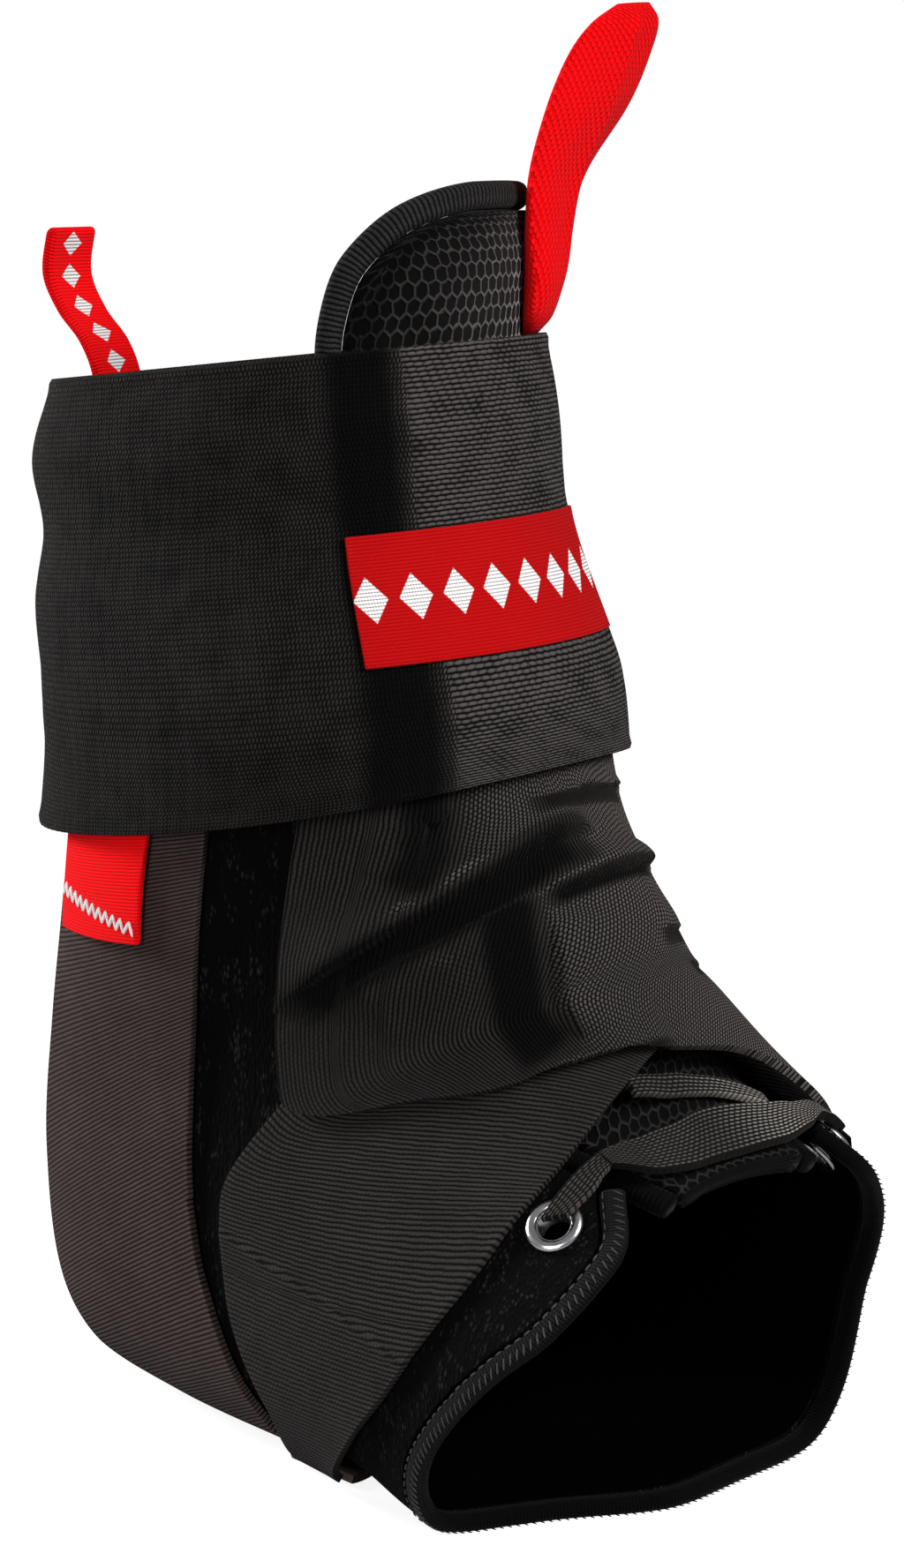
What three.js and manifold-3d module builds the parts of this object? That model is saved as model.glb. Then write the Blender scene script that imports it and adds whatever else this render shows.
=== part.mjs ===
// Ankle brace for the right foot, in its worn shape, standing on its own sole.
// Millimetres and degrees. +X points to the toes, -Y to the outer side, +Z up.
// Every cloth piece is a wall that follows one surface, the form, which wraps the leg and foot.
// A place on the form is (at, turn): at runs from the top of the tongue (0) to the toe edge (1),
// turn goes round it, 0 in front and on top, 90 on the outer side, 180 behind and under the sole.
import * as THREE from "three";
import { mergeVertices } from "three/addons/utils/BufferGeometryUtils.js";
import Module from "manifold-3d";

const wasm = await Module();
wasm.setup();

// Driving sizes of the form
const LEG_LENGTH = 96;
const LEG_DEPTH = 80;
const LEG_WIDTH = 76;
const LEG_LEAN = 8;
const ANKLE_HEIGHT = 126;
const ANKLE_X = 4;
const FOOT_LENGTH = 165;
const FOOT_WIDTH = 90;
const SOLE_ROUND = 4;

// Walls and gaps
const BODY_WALL = 2.4;
const STRAP_WALL = 1.6;
const CUFF_WALL = 2;
const TONGUE_WALL = 4;
const BINDING_WALL = 3.2;
const BINDING_RISE = 0.4;
const LABEL_WALL = 0.8;
const TAG_WALL = 1.2;
const LACE_WALL = 1.6;
const CLEARANCE = 0.45;
const TONGUE_EASE = 0.9;
const PANEL_CLEARANCE = 1.4;
const EYELET_INNER_CLEARANCE = 0.6;

// More room under a curved wall, whose flat facets sag towards the layer below
const SAG_ON_BODY = 0.1;
const SAG_ON_STRAP = 0.35;
const SAG_UNDER_CUFF = 0.45;

// Sizes of the pieces
const CUFF_HEIGHT = 77;
const CUFF_TOP_HEIGHT = 69;
const BODY_TOP_DROP = 2;
const BINDING_WIDTH = 4;
const TONGUE_BINDING_WIDTH = 5;
const LABEL_HEIGHT = 22.5;
const LABEL_WIDTH = 58;
const LABEL_HEIGHT_ON_LEG = 38;
const TONGUE_TAB_LENGTH = 60;
const TONGUE_TAB_WIDTH = 24;
const TONGUE_TAB_THICKNESS = 6.5;
const REAR_TAB_LENGTH = 38;
const REAR_TAB_WIDTH = 14;
const REAR_TAB_THICKNESS = 2.4;
const EYELET_BORE = 5.6;
const EYELET_FLANGE = 10;
const EYELET_INNER_FLANGE = 8.8;
const EYELET_TUBE_WALL = 0.5;
const FLANGE_THICKNESS = 0.9;
const FLANGE_CHAMFER = 1;
const FOLD_FADE = 10;

// Depths of the layers over the form, from the foot outwards
const ON_TONGUE = -TONGUE_EASE + CLEARANCE;
const UNDER = BODY_WALL + CLEARANCE + SAG_ON_BODY;
const OVER = UNDER + STRAP_WALL + CLEARANCE + SAG_ON_STRAP;
const CUFF_SEAT = OVER + STRAP_WALL + CLEARANCE + SAG_UNDER_CUFF;
const SOLE_STACK = OVER + STRAP_WALL;
const TOE_STACK = BODY_WALL + BINDING_RISE;

// Share of the form that lies above the ankle, and where along the form other things change
const LEG_SHARE = 0.32;
const FOOT_START = 0.34;
const FOOT_FULL = 0.74;
const TOE_START = 0.8;
const TOE_FULL = 0.9;
const SOLE_RISE_START = 0.82;
const SOLE_RISE_END = 0.885;
const CUFF_FLARE_START = 0.18;
const CUFF_FLARE_END = 0.3;
const EYELET_AT = 0.883;
const TONGUE_TAB_FOOT = 0.085;

// Turns, in degrees
const BODY_GAP_OUTER = 16;
const BODY_GAP_INNER = -60;
const CUFF_BULGE_TURN = 138;
const LABEL_TURN = 34;
const TONGUE_TAB_TURN = -45;
const REAR_TAB_TURN = 160;
const EYELET_TURN = 51;

// Exponents of a section's curve: 2 is an ellipse, more is squarer
const ROUND_POWER = 2;
const INSTEP_SQUARER = 0.1;
const SOLE_SQUARER = 0.7;
const TOE_SQUARER = 0.9;

// Leg sections, up as a share of LEG_LENGTH, front and back of LEG_DEPTH, side of LEG_WIDTH
const LEG_SECTIONS = [
  { up: 1.0, front: 0.505, back: -0.505, side: 0.478 },
  { up: 0.68, front: 0.505, back: -0.525, side: 0.502 },
  { up: 0.36, front: 0.505, back: -0.545, side: 0.525 },
  { up: 0.06, front: 0.53, back: -0.545, side: 0.55 },
];

// Foot sections, topX and backX as shares of FOOT_LENGTH, topZ and backZ of ANKLE_HEIGHT,
// side, shift and ridge of FOOT_WIDTH
const FOOT_SECTIONS = [
  { at: 0.38, topX: 0.3, topZ: 0.945, backX: -0.285, backZ: 0.72, side: 0.462, shift: 0, ridge: 0.02 },
  { at: 0.46, topX: 0.352, topZ: 0.86, backX: -0.332, backZ: 0.5, side: 0.44, shift: 0, ridge: 0.03 },
  { at: 0.54, topX: 0.397, topZ: 0.79, backX: -0.356, backZ: 0.27, side: 0.425, shift: 0, ridge: 0.04 },
  { at: 0.62, topX: 0.42, topZ: 0.732, backX: -0.289, backZ: 0.06, side: 0.43, shift: 0, ridge: 0.05 },
  { at: 0.7, topX: 0.445, topZ: 0.69, backX: -0.09, backZ: 0, side: 0.44, shift: 0.01, ridge: 0.06 },
  { at: 0.79, topX: 0.495, topZ: 0.612, backX: 0.17, backZ: 0, side: 0.465, shift: 0.02, ridge: 0.07 },
  { at: 0.89, topX: 0.56, topZ: 0.545, backX: 0.4, backZ: -0.02, side: 0.49, shift: 0.03, ridge: 0.07 },
  { at: 1.0, topX: 0.66, topZ: 0.49, backX: 0.6, backZ: -0.02, side: 0.495, shift: 0.04, ridge: 0.07 },
];

// The toe edge, from the outer flap round the sole to the inner flap
const TOE_EDGE = [
  { turn: 36, at: 0.902 },
  { turn: 47, at: 0.948 },
  { turn: 58, at: 0.96 },
  { turn: 72, at: 0.952 },
  { turn: 84, at: 0.925 },
  { turn: 98, at: 0.9 },
  { turn: 114, at: 0.886 },
  { turn: 132, at: 0.892 },
  { turn: 152, at: 0.918 },
  { turn: 180, at: 0.955 },
  { turn: 212, at: 0.955 },
  { turn: 240, at: 0.948 },
  { turn: 270, at: 0.94 },
  { turn: 295, at: 0.945 },
  { turn: 312, at: 0.94 },
  { turn: 324, at: 0.902 },
];

// Half width of the tongue in degrees, down its length, and where its middle lies
const TONGUE_SHAPE = [
  { at: 0.0, half: 30, middle: -37 },
  { at: 0.01, half: 50, middle: -36 },
  { at: 0.035, half: 62, middle: -34 },
  { at: 0.062, half: 67, middle: -33 },
  { at: 0.095, half: 69, middle: -32 },
  { at: 0.3, half: 61, middle: -25 },
  { at: 0.5, half: 48, middle: -10 },
  { at: 0.7, half: 40, middle: 0 },
  { at: 0.93, half: 32, middle: 0 },
];

// Heel strap, from under the cuff to where it ends across the sole, on its own side and mirrored
const HEEL_STRAP = [
  { rearAt: 0.25, rearTurn: 126, frontAt: 0.25, frontTurn: 70 },
  { rearAt: 0.345, rearTurn: 130, frontAt: 0.345, frontTurn: 69 },
  { rearAt: 0.45, rearTurn: 140, frontAt: 0.44, frontTurn: 73 },
  { rearAt: 0.54, rearTurn: 146, frontAt: 0.53, frontTurn: 78 },
  { rearAt: 0.6, rearTurn: 150, frontAt: 0.618, frontTurn: 89 },
  { rearAt: 0.635, rearTurn: 154, frontAt: 0.68, frontTurn: 109 },
  { rearAt: 0.665, rearTurn: 163, frontAt: 0.73, frontTurn: 125 },
  { rearAt: 0.697, rearTurn: 177, frontAt: 0.768, frontTurn: 140 },
  { rearAt: 0.726, rearTurn: 192, frontAt: 0.792, frontTurn: 165 },
  { rearAt: 0.752, rearTurn: 206, frontAt: 0.805, frontTurn: 194 },
  { rearAt: 0.775, rearTurn: 219, frontAt: 0.812, frontTurn: 220 },
];
// Level of each heel strap at those rows, 0 next to the body and 1 over the other strap
const OUTER_STRAP_LEVELS = [0, 0, 0, 0, 0, 0, 0, 0, 0, 0, 0];
const INNER_STRAP_LEVELS = [0, 0, 0, 0, 0.15, 0.75, 1, 1, 1, 1, 1];

// Cross strap, from the sole up the outer side and on under the wrap
const CROSS_STRAP = [
  { rearAt: 0.784, rearTurn: 138, frontAt: 0.813, frontTurn: 136, level: 1 },
  { rearAt: 0.763, rearTurn: 127, frontAt: 0.832, frontTurn: 116, level: 0.4 },
  { rearAt: 0.72, rearTurn: 114, frontAt: 0.847, frontTurn: 96, level: 0 },
  { rearAt: 0.665, rearTurn: 91, frontAt: 0.86, frontTurn: 70, level: 0 },
  { rearAt: 0.63, rearTurn: 77, frontAt: 0.851, frontTurn: 54, level: 0 },
  { rearAt: 0.595, rearTurn: 55, frontAt: 0.834, frontTurn: 38, level: 0 },
  { rearAt: 0.56, rearTurn: 38, frontAt: 0.795, frontTurn: 19, level: 0 },
  { rearAt: 0.53, rearTurn: 12, frontAt: 0.74, frontTurn: -4, level: 0 },
  { rearAt: 0.49, rearTurn: -16, frontAt: 0.7, frontTurn: -30, level: 0 },
];

// Ankle wrap, from the sole up the inner side and over the instep to its end on the outer side
const ANKLE_WRAP = [
  { rearAt: 0.784, rearTurn: -138, frontAt: 0.813, frontTurn: -136, level: 0.3 },
  { rearAt: 0.745, rearTurn: -121, frontAt: 0.84, frontTurn: -106, level: 0.8 },
  { rearAt: 0.69, rearTurn: -99, frontAt: 0.855, frontTurn: -80, level: 1 },
  { rearAt: 0.61, rearTurn: -82, frontAt: 0.865, frontTurn: -56, level: 1 },
  { rearAt: 0.51, rearTurn: -71, frontAt: 0.845, frontTurn: -36, level: 1 },
  { rearAt: 0.41, rearTurn: -58, frontAt: 0.805, frontTurn: -18, level: 1 },
  { rearAt: 0.33, rearTurn: -40, frontAt: 0.775, frontTurn: 0, level: 1 },
  { rearAt: 0.305, rearTurn: -16, frontAt: 0.75, frontTurn: 13, level: 1 },
  { rearAt: 0.305, rearTurn: 8, frontAt: 0.728, frontTurn: 29, level: 1 },
  { rearAt: 0.305, rearTurn: 29, frontAt: 0.667, frontTurn: 39, level: 1 },
  { rearAt: 0.305, rearTurn: 47, frontAt: 0.597, frontTurn: 51, level: 1 },
];

// Folds of the ankle wrap: ridges from one place to another, height and spread in millimetres
const WRAP_FOLDS = [
  { at: 0.52, turn: 44, toAt: 0.452, toTurn: 16, height: 2.2, spread: 4 },
  { at: 0.452, turn: 16, toAt: 0.425, toTurn: -24, height: 3, spread: 4.5 },
  { at: 0.475, turn: 12, toAt: 0.47, toTurn: -26, height: 2.6, spread: 3.5 },
  { at: 0.385, turn: 20, toAt: 0.385, toTurn: -34, height: 3, spread: 4 },
  { at: 0.54, turn: 4, toAt: 0.53, toTurn: -34, height: 1.8, spread: 5 },
  { at: 0.64, turn: 2, toAt: 0.65, toTurn: -34, height: 1.6, spread: 5 },
];

// Bulges of the cuff down its height, in millimetres behind and in front
const CUFF_BULGES = [
  { down: 0, behind: 0, front: 0 },
  { down: 0.18, behind: 4.2, front: 1 },
  { down: 0.34, behind: 2.8, front: 0.4 },
  { down: 0.5, behind: 3.8, front: 0 },
  { down: 0.68, behind: 1.4, front: 0 },
  { down: 0.84, behind: 0.2, front: 0.6 },
  { down: 1, behind: 0, front: 0 },
];

// Elastic lace over the instep, from the outer pinch to the inner one, level -1 on the tongue
const INSTEP_ELASTIC = [
  { rearAt: 0.852, rearTurn: 33, frontAt: 0.876, frontTurn: 34, level: 0.3 },
  { rearAt: 0.858, rearTurn: 22, frontAt: 0.912, frontTurn: 27, level: -0.2 },
  { rearAt: 0.856, rearTurn: 12, frontAt: 0.922, frontTurn: 16, level: -0.6 },
  { rearAt: 0.85, rearTurn: 2, frontAt: 0.924, frontTurn: 2, level: -0.8 },
  { rearAt: 0.862, rearTurn: -12, frontAt: 0.926, frontTurn: -14, level: -0.6 },
  { rearAt: 0.872, rearTurn: -24, frontAt: 0.912, frontTurn: -27, level: -0.2 },
  { rearAt: 0.875, rearTurn: -33, frontAt: 0.895, frontTurn: -34, level: 0.3 },
];
const INSTEP_ELASTIC_UPPER = [
  { rearAt: 0.788, rearTurn: 14, frontAt: 0.812, frontTurn: 16, level: 0 },
  { rearAt: 0.8, rearTurn: 5, frontAt: 0.83, frontTurn: 6, level: -0.6 },
  { rearAt: 0.812, rearTurn: -4, frontAt: 0.838, frontTurn: -4, level: -0.9 },
  { rearAt: 0.828, rearTurn: -14, frontAt: 0.851, frontTurn: -14, level: -0.95 },
  { rearAt: 0.846, rearTurn: -24, frontAt: 0.862, frontTurn: -24, level: -0.95 },
];
const OUTER_LACE_END = [
  { rearAt: 0.877, rearTurn: 52, frontAt: 0.893, frontTurn: 49, level: 0.55 },
  { rearAt: 0.867, rearTurn: 46, frontAt: 0.889, frontTurn: 42, level: 0.5 },
  { rearAt: 0.858, rearTurn: 40, frontAt: 0.879, frontTurn: 37, level: 0.35 },
  { rearAt: 0.852, rearTurn: 33.4, frontAt: 0.876, frontTurn: 34.4, level: 0.3 },
];
const INNER_LACE_END = [
  { rearAt: 0.877, rearTurn: 52, frontAt: 0.893, frontTurn: 49, level: 0.55 },
  { rearAt: 0.874, rearTurn: 46, frontAt: 0.893, frontTurn: 42, level: 0.5 },
  { rearAt: 0.874, rearTurn: 40, frontAt: 0.893, frontTurn: 38, level: 0.35 },
  { rearAt: 0.875, rearTurn: 33.4, frontAt: 0.895, frontTurn: 34.4, level: 0.3 },
];

// Side tag that comes out from under the cuff
const SIDE_TAG = [
  { rearAt: 0.305, rearTurn: 115, frontAt: 0.305, frontTurn: 82, level: 1 },
  { rearAt: 0.345, rearTurn: 117, frontAt: 0.345, frontTurn: 83, level: 1 },
  { rearAt: 0.398, rearTurn: 121, frontAt: 0.417, frontTurn: 88, level: 1 },
];

// Tongue tab: along its length, how far it stands out, its width, thickness and twist
const TONGUE_TAB_SHAPE = [
  { along: 0, out: 0, width: 0.3, thick: 0.4, twist: 0 },
  { along: 0.05, out: 0.012, width: 0.56, thick: 0.8, twist: 0 },
  { along: 0.16, out: 0.037, width: 0.7, thick: 1, twist: 0 },
  { along: 0.32, out: 0.078, width: 0.82, thick: 0.95, twist: 2 },
  { along: 0.5, out: 0.13, width: 0.95, thick: 0.9, twist: 10 },
  { along: 0.7, out: 0.232, width: 1, thick: 1, twist: 20 },
  { along: 0.86, out: 0.305, width: 0.84, thick: 0.85, twist: 20 },
  { along: 0.95, out: 0.355, width: 0.56, thick: 0.6, twist: 20 },
  { along: 1, out: 0.395, width: 0.2, thick: 0.35, twist: 20 },
];

// Rear tab: along its length from inside the body, how far it leans back
const REAR_TAB_SHAPE = [
  { along: 0, back: 0 },
  { along: 0.28, back: 0 },
  { along: 0.45, back: 0.06 },
  { along: 0.6, back: 0.17 },
  { along: 0.78, back: 0.24 },
  { along: 1, back: 0.2 },
];

// Smooth curve through the rows of a table, one column at a time
function columnCurve(rows, placeKey, valueKey) {
  const places = rows.map((row) => row[placeKey]);
  const values = rows.map((row) => row[valueKey]);
  const last = rows.length - 1;
  const slopes = values.map((value, i) => {
    const before = Math.max(i - 1, 0);
    const after = Math.min(i + 1, last);
    return (values[after] - values[before]) / (places[after] - places[before]);
  });
  return (place) => {
    let i = 0;
    while (i < last - 1 && place >= places[i + 1]) i += 1;
    const step = places[i + 1] - places[i];
    const t = (place - places[i]) / step;
    if (t < 0) return values[0] + slopes[0] * (place - places[0]);
    if (t > 1) return values[last] + slopes[last] * (place - places[last]);
    return (
      values[i] * (2 * t ** 3 - 3 * t ** 2 + 1) +
      slopes[i] * step * (t ** 3 - 2 * t ** 2 + t) +
      values[i + 1] * (-2 * t ** 3 + 3 * t ** 2) +
      slopes[i + 1] * step * (t ** 3 - t ** 2)
    );
  };
}

// The same through evenly spaced rows
function rowCurve(rows, key) {
  const numbered = rows.map((row, i) => ({ place: i, value: key === undefined ? row : row[key] }));
  return columnCurve(numbered, "place", "value");
}

const mix = THREE.MathUtils.lerp;
const smooth = (low, high, value) => THREE.MathUtils.smoothstep(value, low, high);
const radians = THREE.MathUtils.degToRad;

// Where a height over the ankle, measured along the leg, lies on the form
function legPlace(height) {
  return (1 - height / LEG_LENGTH) * LEG_SHARE;
}

// The section tables in millimetres, leg sections leaned back about the ankle
function formRows() {
  const lean = radians(LEG_LEAN);
  const leaned = (x, z) => ({
    x: ANKLE_X + x * Math.cos(lean) - z * Math.sin(lean),
    z: ANKLE_HEIGHT + x * Math.sin(lean) + z * Math.cos(lean),
  });
  const leg = LEG_SECTIONS.map((section) => {
    const front = leaned(section.front * LEG_DEPTH, section.up * LEG_LENGTH);
    const back = leaned(section.back * LEG_DEPTH, section.up * LEG_LENGTH);
    const at = (1 - section.up) * LEG_SHARE;
    const half = section.side * LEG_WIDTH;
    return { at, topX: front.x, topZ: front.z, backX: back.x, backZ: back.z, half, shift: 0, ridge: 0 };
  });
  const foot = FOOT_SECTIONS.map((section) => ({
    at: section.at,
    topX: section.topX * FOOT_LENGTH,
    topZ: section.topZ * ANKLE_HEIGHT,
    backX: section.backX * FOOT_LENGTH,
    backZ: section.backZ * ANKLE_HEIGHT,
    half: section.side * FOOT_WIDTH,
    shift: section.shift * FOOT_WIDTH,
    ridge: section.ridge * FOOT_WIDTH,
  }));
  return [...leg, ...foot];
}

const rows = formRows();
const formColumn = {};
for (const key of ["topX", "topZ", "backX", "backZ", "half", "shift", "ridge"]) {
  formColumn[key] = columnCurve(rows, "at", key);
}

// Flat below the sole, rounded into it over SOLE_ROUND, and unchanged above
function flattened(lift) {
  if (lift >= SOLE_ROUND) return lift;
  if (lift <= -SOLE_ROUND) return 0;
  return (lift + SOLE_ROUND) ** 2 / (4 * SOLE_ROUND);
}

// A point of the form: a rounded section between its front and back points, with a flat sole
function formPoint(at, turn) {
  const place = THREE.MathUtils.clamp(at, 0, 1);
  const [topX, topZ] = [formColumn.topX(place), formColumn.topZ(place)];
  const [backX, backZ] = [formColumn.backX(place), formColumn.backZ(place)];
  const half = formColumn.half(place);
  const depth = Math.hypot(topX - backX, topZ - backZ) / 2;
  const along = Math.cos(radians(turn));
  const across = Math.sin(radians(turn));
  const foot = smooth(FOOT_START, FOOT_FULL, place);
  const toe = smooth(TOE_START, TOE_FULL, place);
  const squarer = along > 0 ? INSTEP_SQUARER * foot : SOLE_SQUARER * foot + TOE_SQUARER * toe;
  const power = ROUND_POWER + squarer;
  const radius = (Math.abs(along / depth) ** power + Math.abs(across / half) ** power) ** (-1 / power);
  const reach = (radius * along) / depth / 2;
  const x = (topX + backX) / 2 + reach * (topX - backX);
  const y = -radius * across + formColumn.shift(place) + formColumn.ridge(place) * Math.max(along, 0);
  const z = (topZ + backZ) / 2 + reach * (topZ - backZ);
  const sole = mix(SOLE_STACK, TOE_STACK, smooth(SOLE_RISE_START, SOLE_RISE_END, place));
  return new THREE.Vector3(x, y, sole + flattened(z - sole));
}

// Small steps along and round the form, to work out its slopes
const NUDGE = 0.002;
const NUDGE_TURN = 0.36;

// How the form runs at a place: millimetres for a whole at, and for one degree
function formSlopes(at, turn) {
  const low = Math.max(at - NUDGE, 0);
  const high = Math.min(at + NUDGE, 1);
  const down = formPoint(high, turn).sub(formPoint(low, turn)).divideScalar(high - low);
  const round = formPoint(at, turn + NUDGE_TURN).sub(formPoint(at, turn - NUDGE_TURN));
  return { down, round: round.divideScalar(2 * NUDGE_TURN) };
}

function formNormal(at, turn) {
  const { down, round } = formSlopes(at, turn);
  return round.cross(down).normalize();
}

// A point that lies depth millimetres outside the form
function layerPoint(at, turn, depth) {
  return formPoint(at, turn).addScaledVector(formNormal(at, turn), depth);
}

function wholeGeometry(points, triangles) {
  const geometry = new THREE.BufferGeometry();
  const numbers = points.flatMap((point) => point.toArray());
  geometry.setAttribute("position", new THREE.Float32BufferAttribute(numbers, 3));
  geometry.setIndex(triangles.flat());
  return geometry;
}

function signedVolume(points, triangles) {
  let sum = 0;
  for (const [a, b, c] of triangles) {
    sum += points[a].dot(new THREE.Vector3().crossVectors(points[b], points[c]));
  }
  return sum;
}

// Closed wall: pointAt(u, v, side) gives its inner (0) and outer (1) face, u down and v across.
// A looped wall joins its last column to its first.
function wallGeometry(downSteps, acrossSteps, pointAt, looped = false) {
  const columns = looped ? acrossSteps : acrossSteps + 1;
  const points = [];
  for (const side of [0, 1]) {
    for (let i = 0; i <= downSteps; i += 1) {
      for (let j = 0; j < columns; j += 1) {
        points.push(pointAt(i / downSteps, j / acrossSteps, side));
      }
    }
  }
  const index = (side, i, j) => (side * (downSteps + 1) + i) * columns + (looped ? j % columns : j);
  const triangles = [];
  const quad = (a, b, c, d) => triangles.push([a, b, c], [a, c, d]);
  for (let i = 0; i < downSteps; i += 1) {
    for (let j = 0; j < acrossSteps; j += 1) {
      quad(index(1, i, j), index(1, i + 1, j), index(1, i + 1, j + 1), index(1, i, j + 1));
      quad(index(0, i, j), index(0, i, j + 1), index(0, i + 1, j + 1), index(0, i + 1, j));
    }
  }
  const foot = downSteps;
  for (let j = 0; j < acrossSteps; j += 1) {
    quad(index(0, 0, j), index(1, 0, j), index(1, 0, j + 1), index(0, 0, j + 1));
    quad(index(0, foot, j), index(0, foot, j + 1), index(1, foot, j + 1), index(1, foot, j));
  }
  if (!looped) {
    for (let i = 0; i < downSteps; i += 1) {
      quad(index(0, i, 0), index(0, i + 1, 0), index(1, i + 1, 0), index(1, i, 0));
      const end = acrossSteps;
      quad(index(0, i, end), index(1, i, end), index(1, i + 1, end), index(0, i + 1, end));
    }
  }
  if (signedVolume(points, triangles) < 0) triangles.forEach((triangle) => triangle.reverse());
  return wholeGeometry(points, triangles);
}

function toManifold(geometry) {
  const bare = geometry.clone();
  bare.deleteAttribute("normal");
  bare.deleteAttribute("uv");
  const merged = mergeVertices(bare, 1e-5);
  const vertProperties = new Float32Array(merged.getAttribute("position").array);
  const triVerts = new Uint32Array(merged.getIndex().array);
  return new wasm.Manifold(new wasm.Mesh({ numProp: 3, vertProperties, triVerts }));
}

function fromManifold(solid) {
  const mesh = solid.getMesh();
  const geometry = new THREE.BufferGeometry();
  geometry.setAttribute("position", new THREE.BufferAttribute(new Float32Array(mesh.vertProperties), 3));
  geometry.setIndex(new THREE.BufferAttribute(new Uint32Array(mesh.triVerts), 1));
  return geometry;
}

// An edge moved sideways over the form by a width in millimetres, to the left of its direction
function insetEdge(edge, width) {
  return (v) => {
    const step = 0.002;
    const here = edge(v);
    const before = edge(Math.max(v - step, 0));
    const after = edge(Math.min(v + step, 1));
    const { down, round } = formSlopes(here.at, here.turn);
    const alongDown = (after.at - before.at) * down.length();
    const alongRound = (after.turn - before.turn) * round.length();
    const length = Math.hypot(alongDown, alongRound);
    return {
      at: here.at - ((alongRound / length) * width) / down.length(),
      turn: here.turn + ((alongDown / length) * width) / round.length(),
    };
  };
}

// The toe edge as a curve
const toeEdgeTurn = rowCurve(TOE_EDGE, "turn");
const toeEdgeAt = rowCurve(TOE_EDGE, "at");
function toeEdge(v) {
  const place = v * (TOE_EDGE.length - 1);
  return { at: toeEdgeAt(place), turn: toeEdgeTurn(place) };
}
const toeBindingEdge = insetEdge(toeEdge, BINDING_WIDTH);
const bodyToeEdge = insetEdge(toeEdge, BINDING_WIDTH + CLEARANCE);

// Where an eyelet stands, its axis along the form's normal
const LATHE_STEPS = 14;
function eyeletFrame(turn) {
  const normal = formNormal(EYELET_AT, turn);
  const centre = formPoint(EYELET_AT, turn);
  const turned = new THREE.Quaternion().setFromUnitVectors(new THREE.Vector3(0, 1, 0), normal);
  return new THREE.Matrix4().compose(centre, turned, new THREE.Vector3(1, 1, 1));
}

// Body: one wall from under the cuff's top edge to the toe binding, open down the front
function bodyGeometry() {
  const top = legPlace(CUFF_TOP_HEIGHT - BODY_TOP_DROP);
  const wall = wallGeometry(24, 32, (u, v, side) => {
    const toe = bodyToeEdge(v);
    const topTurn = mix(BODY_GAP_OUTER, 360 + BODY_GAP_INNER, v);
    return layerPoint(mix(top, toe.at, u), mix(topTurn, toe.turn, u), side * BODY_WALL);
  });
  const holeRadius = EYELET_BORE / 2 + EYELET_TUBE_WALL + CLEARANCE;
  let solid = toManifold(wall);
  for (const turn of [EYELET_TURN, -EYELET_TURN]) {
    const drill = new THREE.CylinderGeometry(holeRadius, holeRadius, 6 * BODY_WALL, LATHE_STEPS);
    solid = solid.subtract(toManifold(drill.applyMatrix4(eyeletFrame(turn))));
  }
  return fromManifold(solid);
}

// Binding round the toe edge
function toeBindingGeometry() {
  const low = BODY_WALL - BINDING_WALL + BINDING_RISE;
  const high = BODY_WALL + BINDING_RISE;
  return wallGeometry(1, 46, (u, v, side) => {
    const outerEdge = toeEdge(v);
    const innerEdge = toeBindingEdge(v);
    const at = mix(innerEdge.at, outerEdge.at, u);
    const turn = mix(innerEdge.turn, outerEdge.turn, u);
    return layerPoint(at, turn, mix(low, high, side));
  });
}

// Eyelets: a ring with a flange on each side of the body's wall
function eyeletGeometry(turn) {
  const bore = EYELET_BORE / 2;
  const tube = bore + EYELET_TUBE_WALL;
  const flange = EYELET_FLANGE / 2;
  const innerFlange = EYELET_INNER_FLANGE / 2;
  const outside = BODY_WALL + CLEARANCE;
  const inside = -EYELET_INNER_CLEARANCE;
  const profile = [
    [bore, inside - FLANGE_THICKNESS],
    [innerFlange, inside - FLANGE_THICKNESS],
    [innerFlange, inside],
    [tube, inside],
    [tube, outside],
    [flange, outside],
    [flange - FLANGE_CHAMFER, outside + FLANGE_THICKNESS],
    [bore, outside + FLANGE_THICKNESS],
    [bore, inside - FLANGE_THICKNESS],
  ].map(([radius, height]) => new THREE.Vector2(radius, height));
  const ring = new THREE.LatheGeometry(profile, LATHE_STEPS).applyMatrix4(eyeletFrame(turn));
  return fromManifold(toManifold(ring));
}

// Tongue: its outline runs up the outer edge, over the top and down the inner edge
const tongueRise = [...TONGUE_SHAPE].reverse();
const tongueOutline = [
  ...tongueRise.map((row) => ({ at: row.at, turn: row.middle + row.half })),
  ...TONGUE_SHAPE.map((row) => ({ at: row.at, turn: row.middle - row.half })),
];
const tongueOutlineAt = rowCurve(tongueOutline, "at");
const tongueOutlineTurn = rowCurve(tongueOutline, "turn");
function tongueEdge(v) {
  const place = v * (tongueOutline.length - 1);
  return { at: Math.max(tongueOutlineAt(place), 0), turn: tongueOutlineTurn(place) };
}
const tongueInnerEdge = insetEdge(tongueEdge, TONGUE_BINDING_WIDTH);
const tonguePanelEdge = insetEdge(tongueEdge, TONGUE_BINDING_WIDTH + PANEL_CLEARANCE);

// Place just below the top of the panel, and how its rows crowd towards it
const PANEL_TOP_STEP = 0.001;
const PANEL_CROWDING = 1.25;

// Binding round the tongue
function tongueBindingGeometry() {
  return wallGeometry(1, 60, (u, v, side) => {
    const outerEdge = tongueEdge(v);
    const innerEdge = tongueInnerEdge(v);
    const at = mix(innerEdge.at, outerEdge.at, u);
    const turn = mix(innerEdge.turn, outerEdge.turn, u);
    return layerPoint(at, turn, mix(-TONGUE_EASE - TONGUE_WALL, -TONGUE_EASE, side));
  });
}

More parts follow.
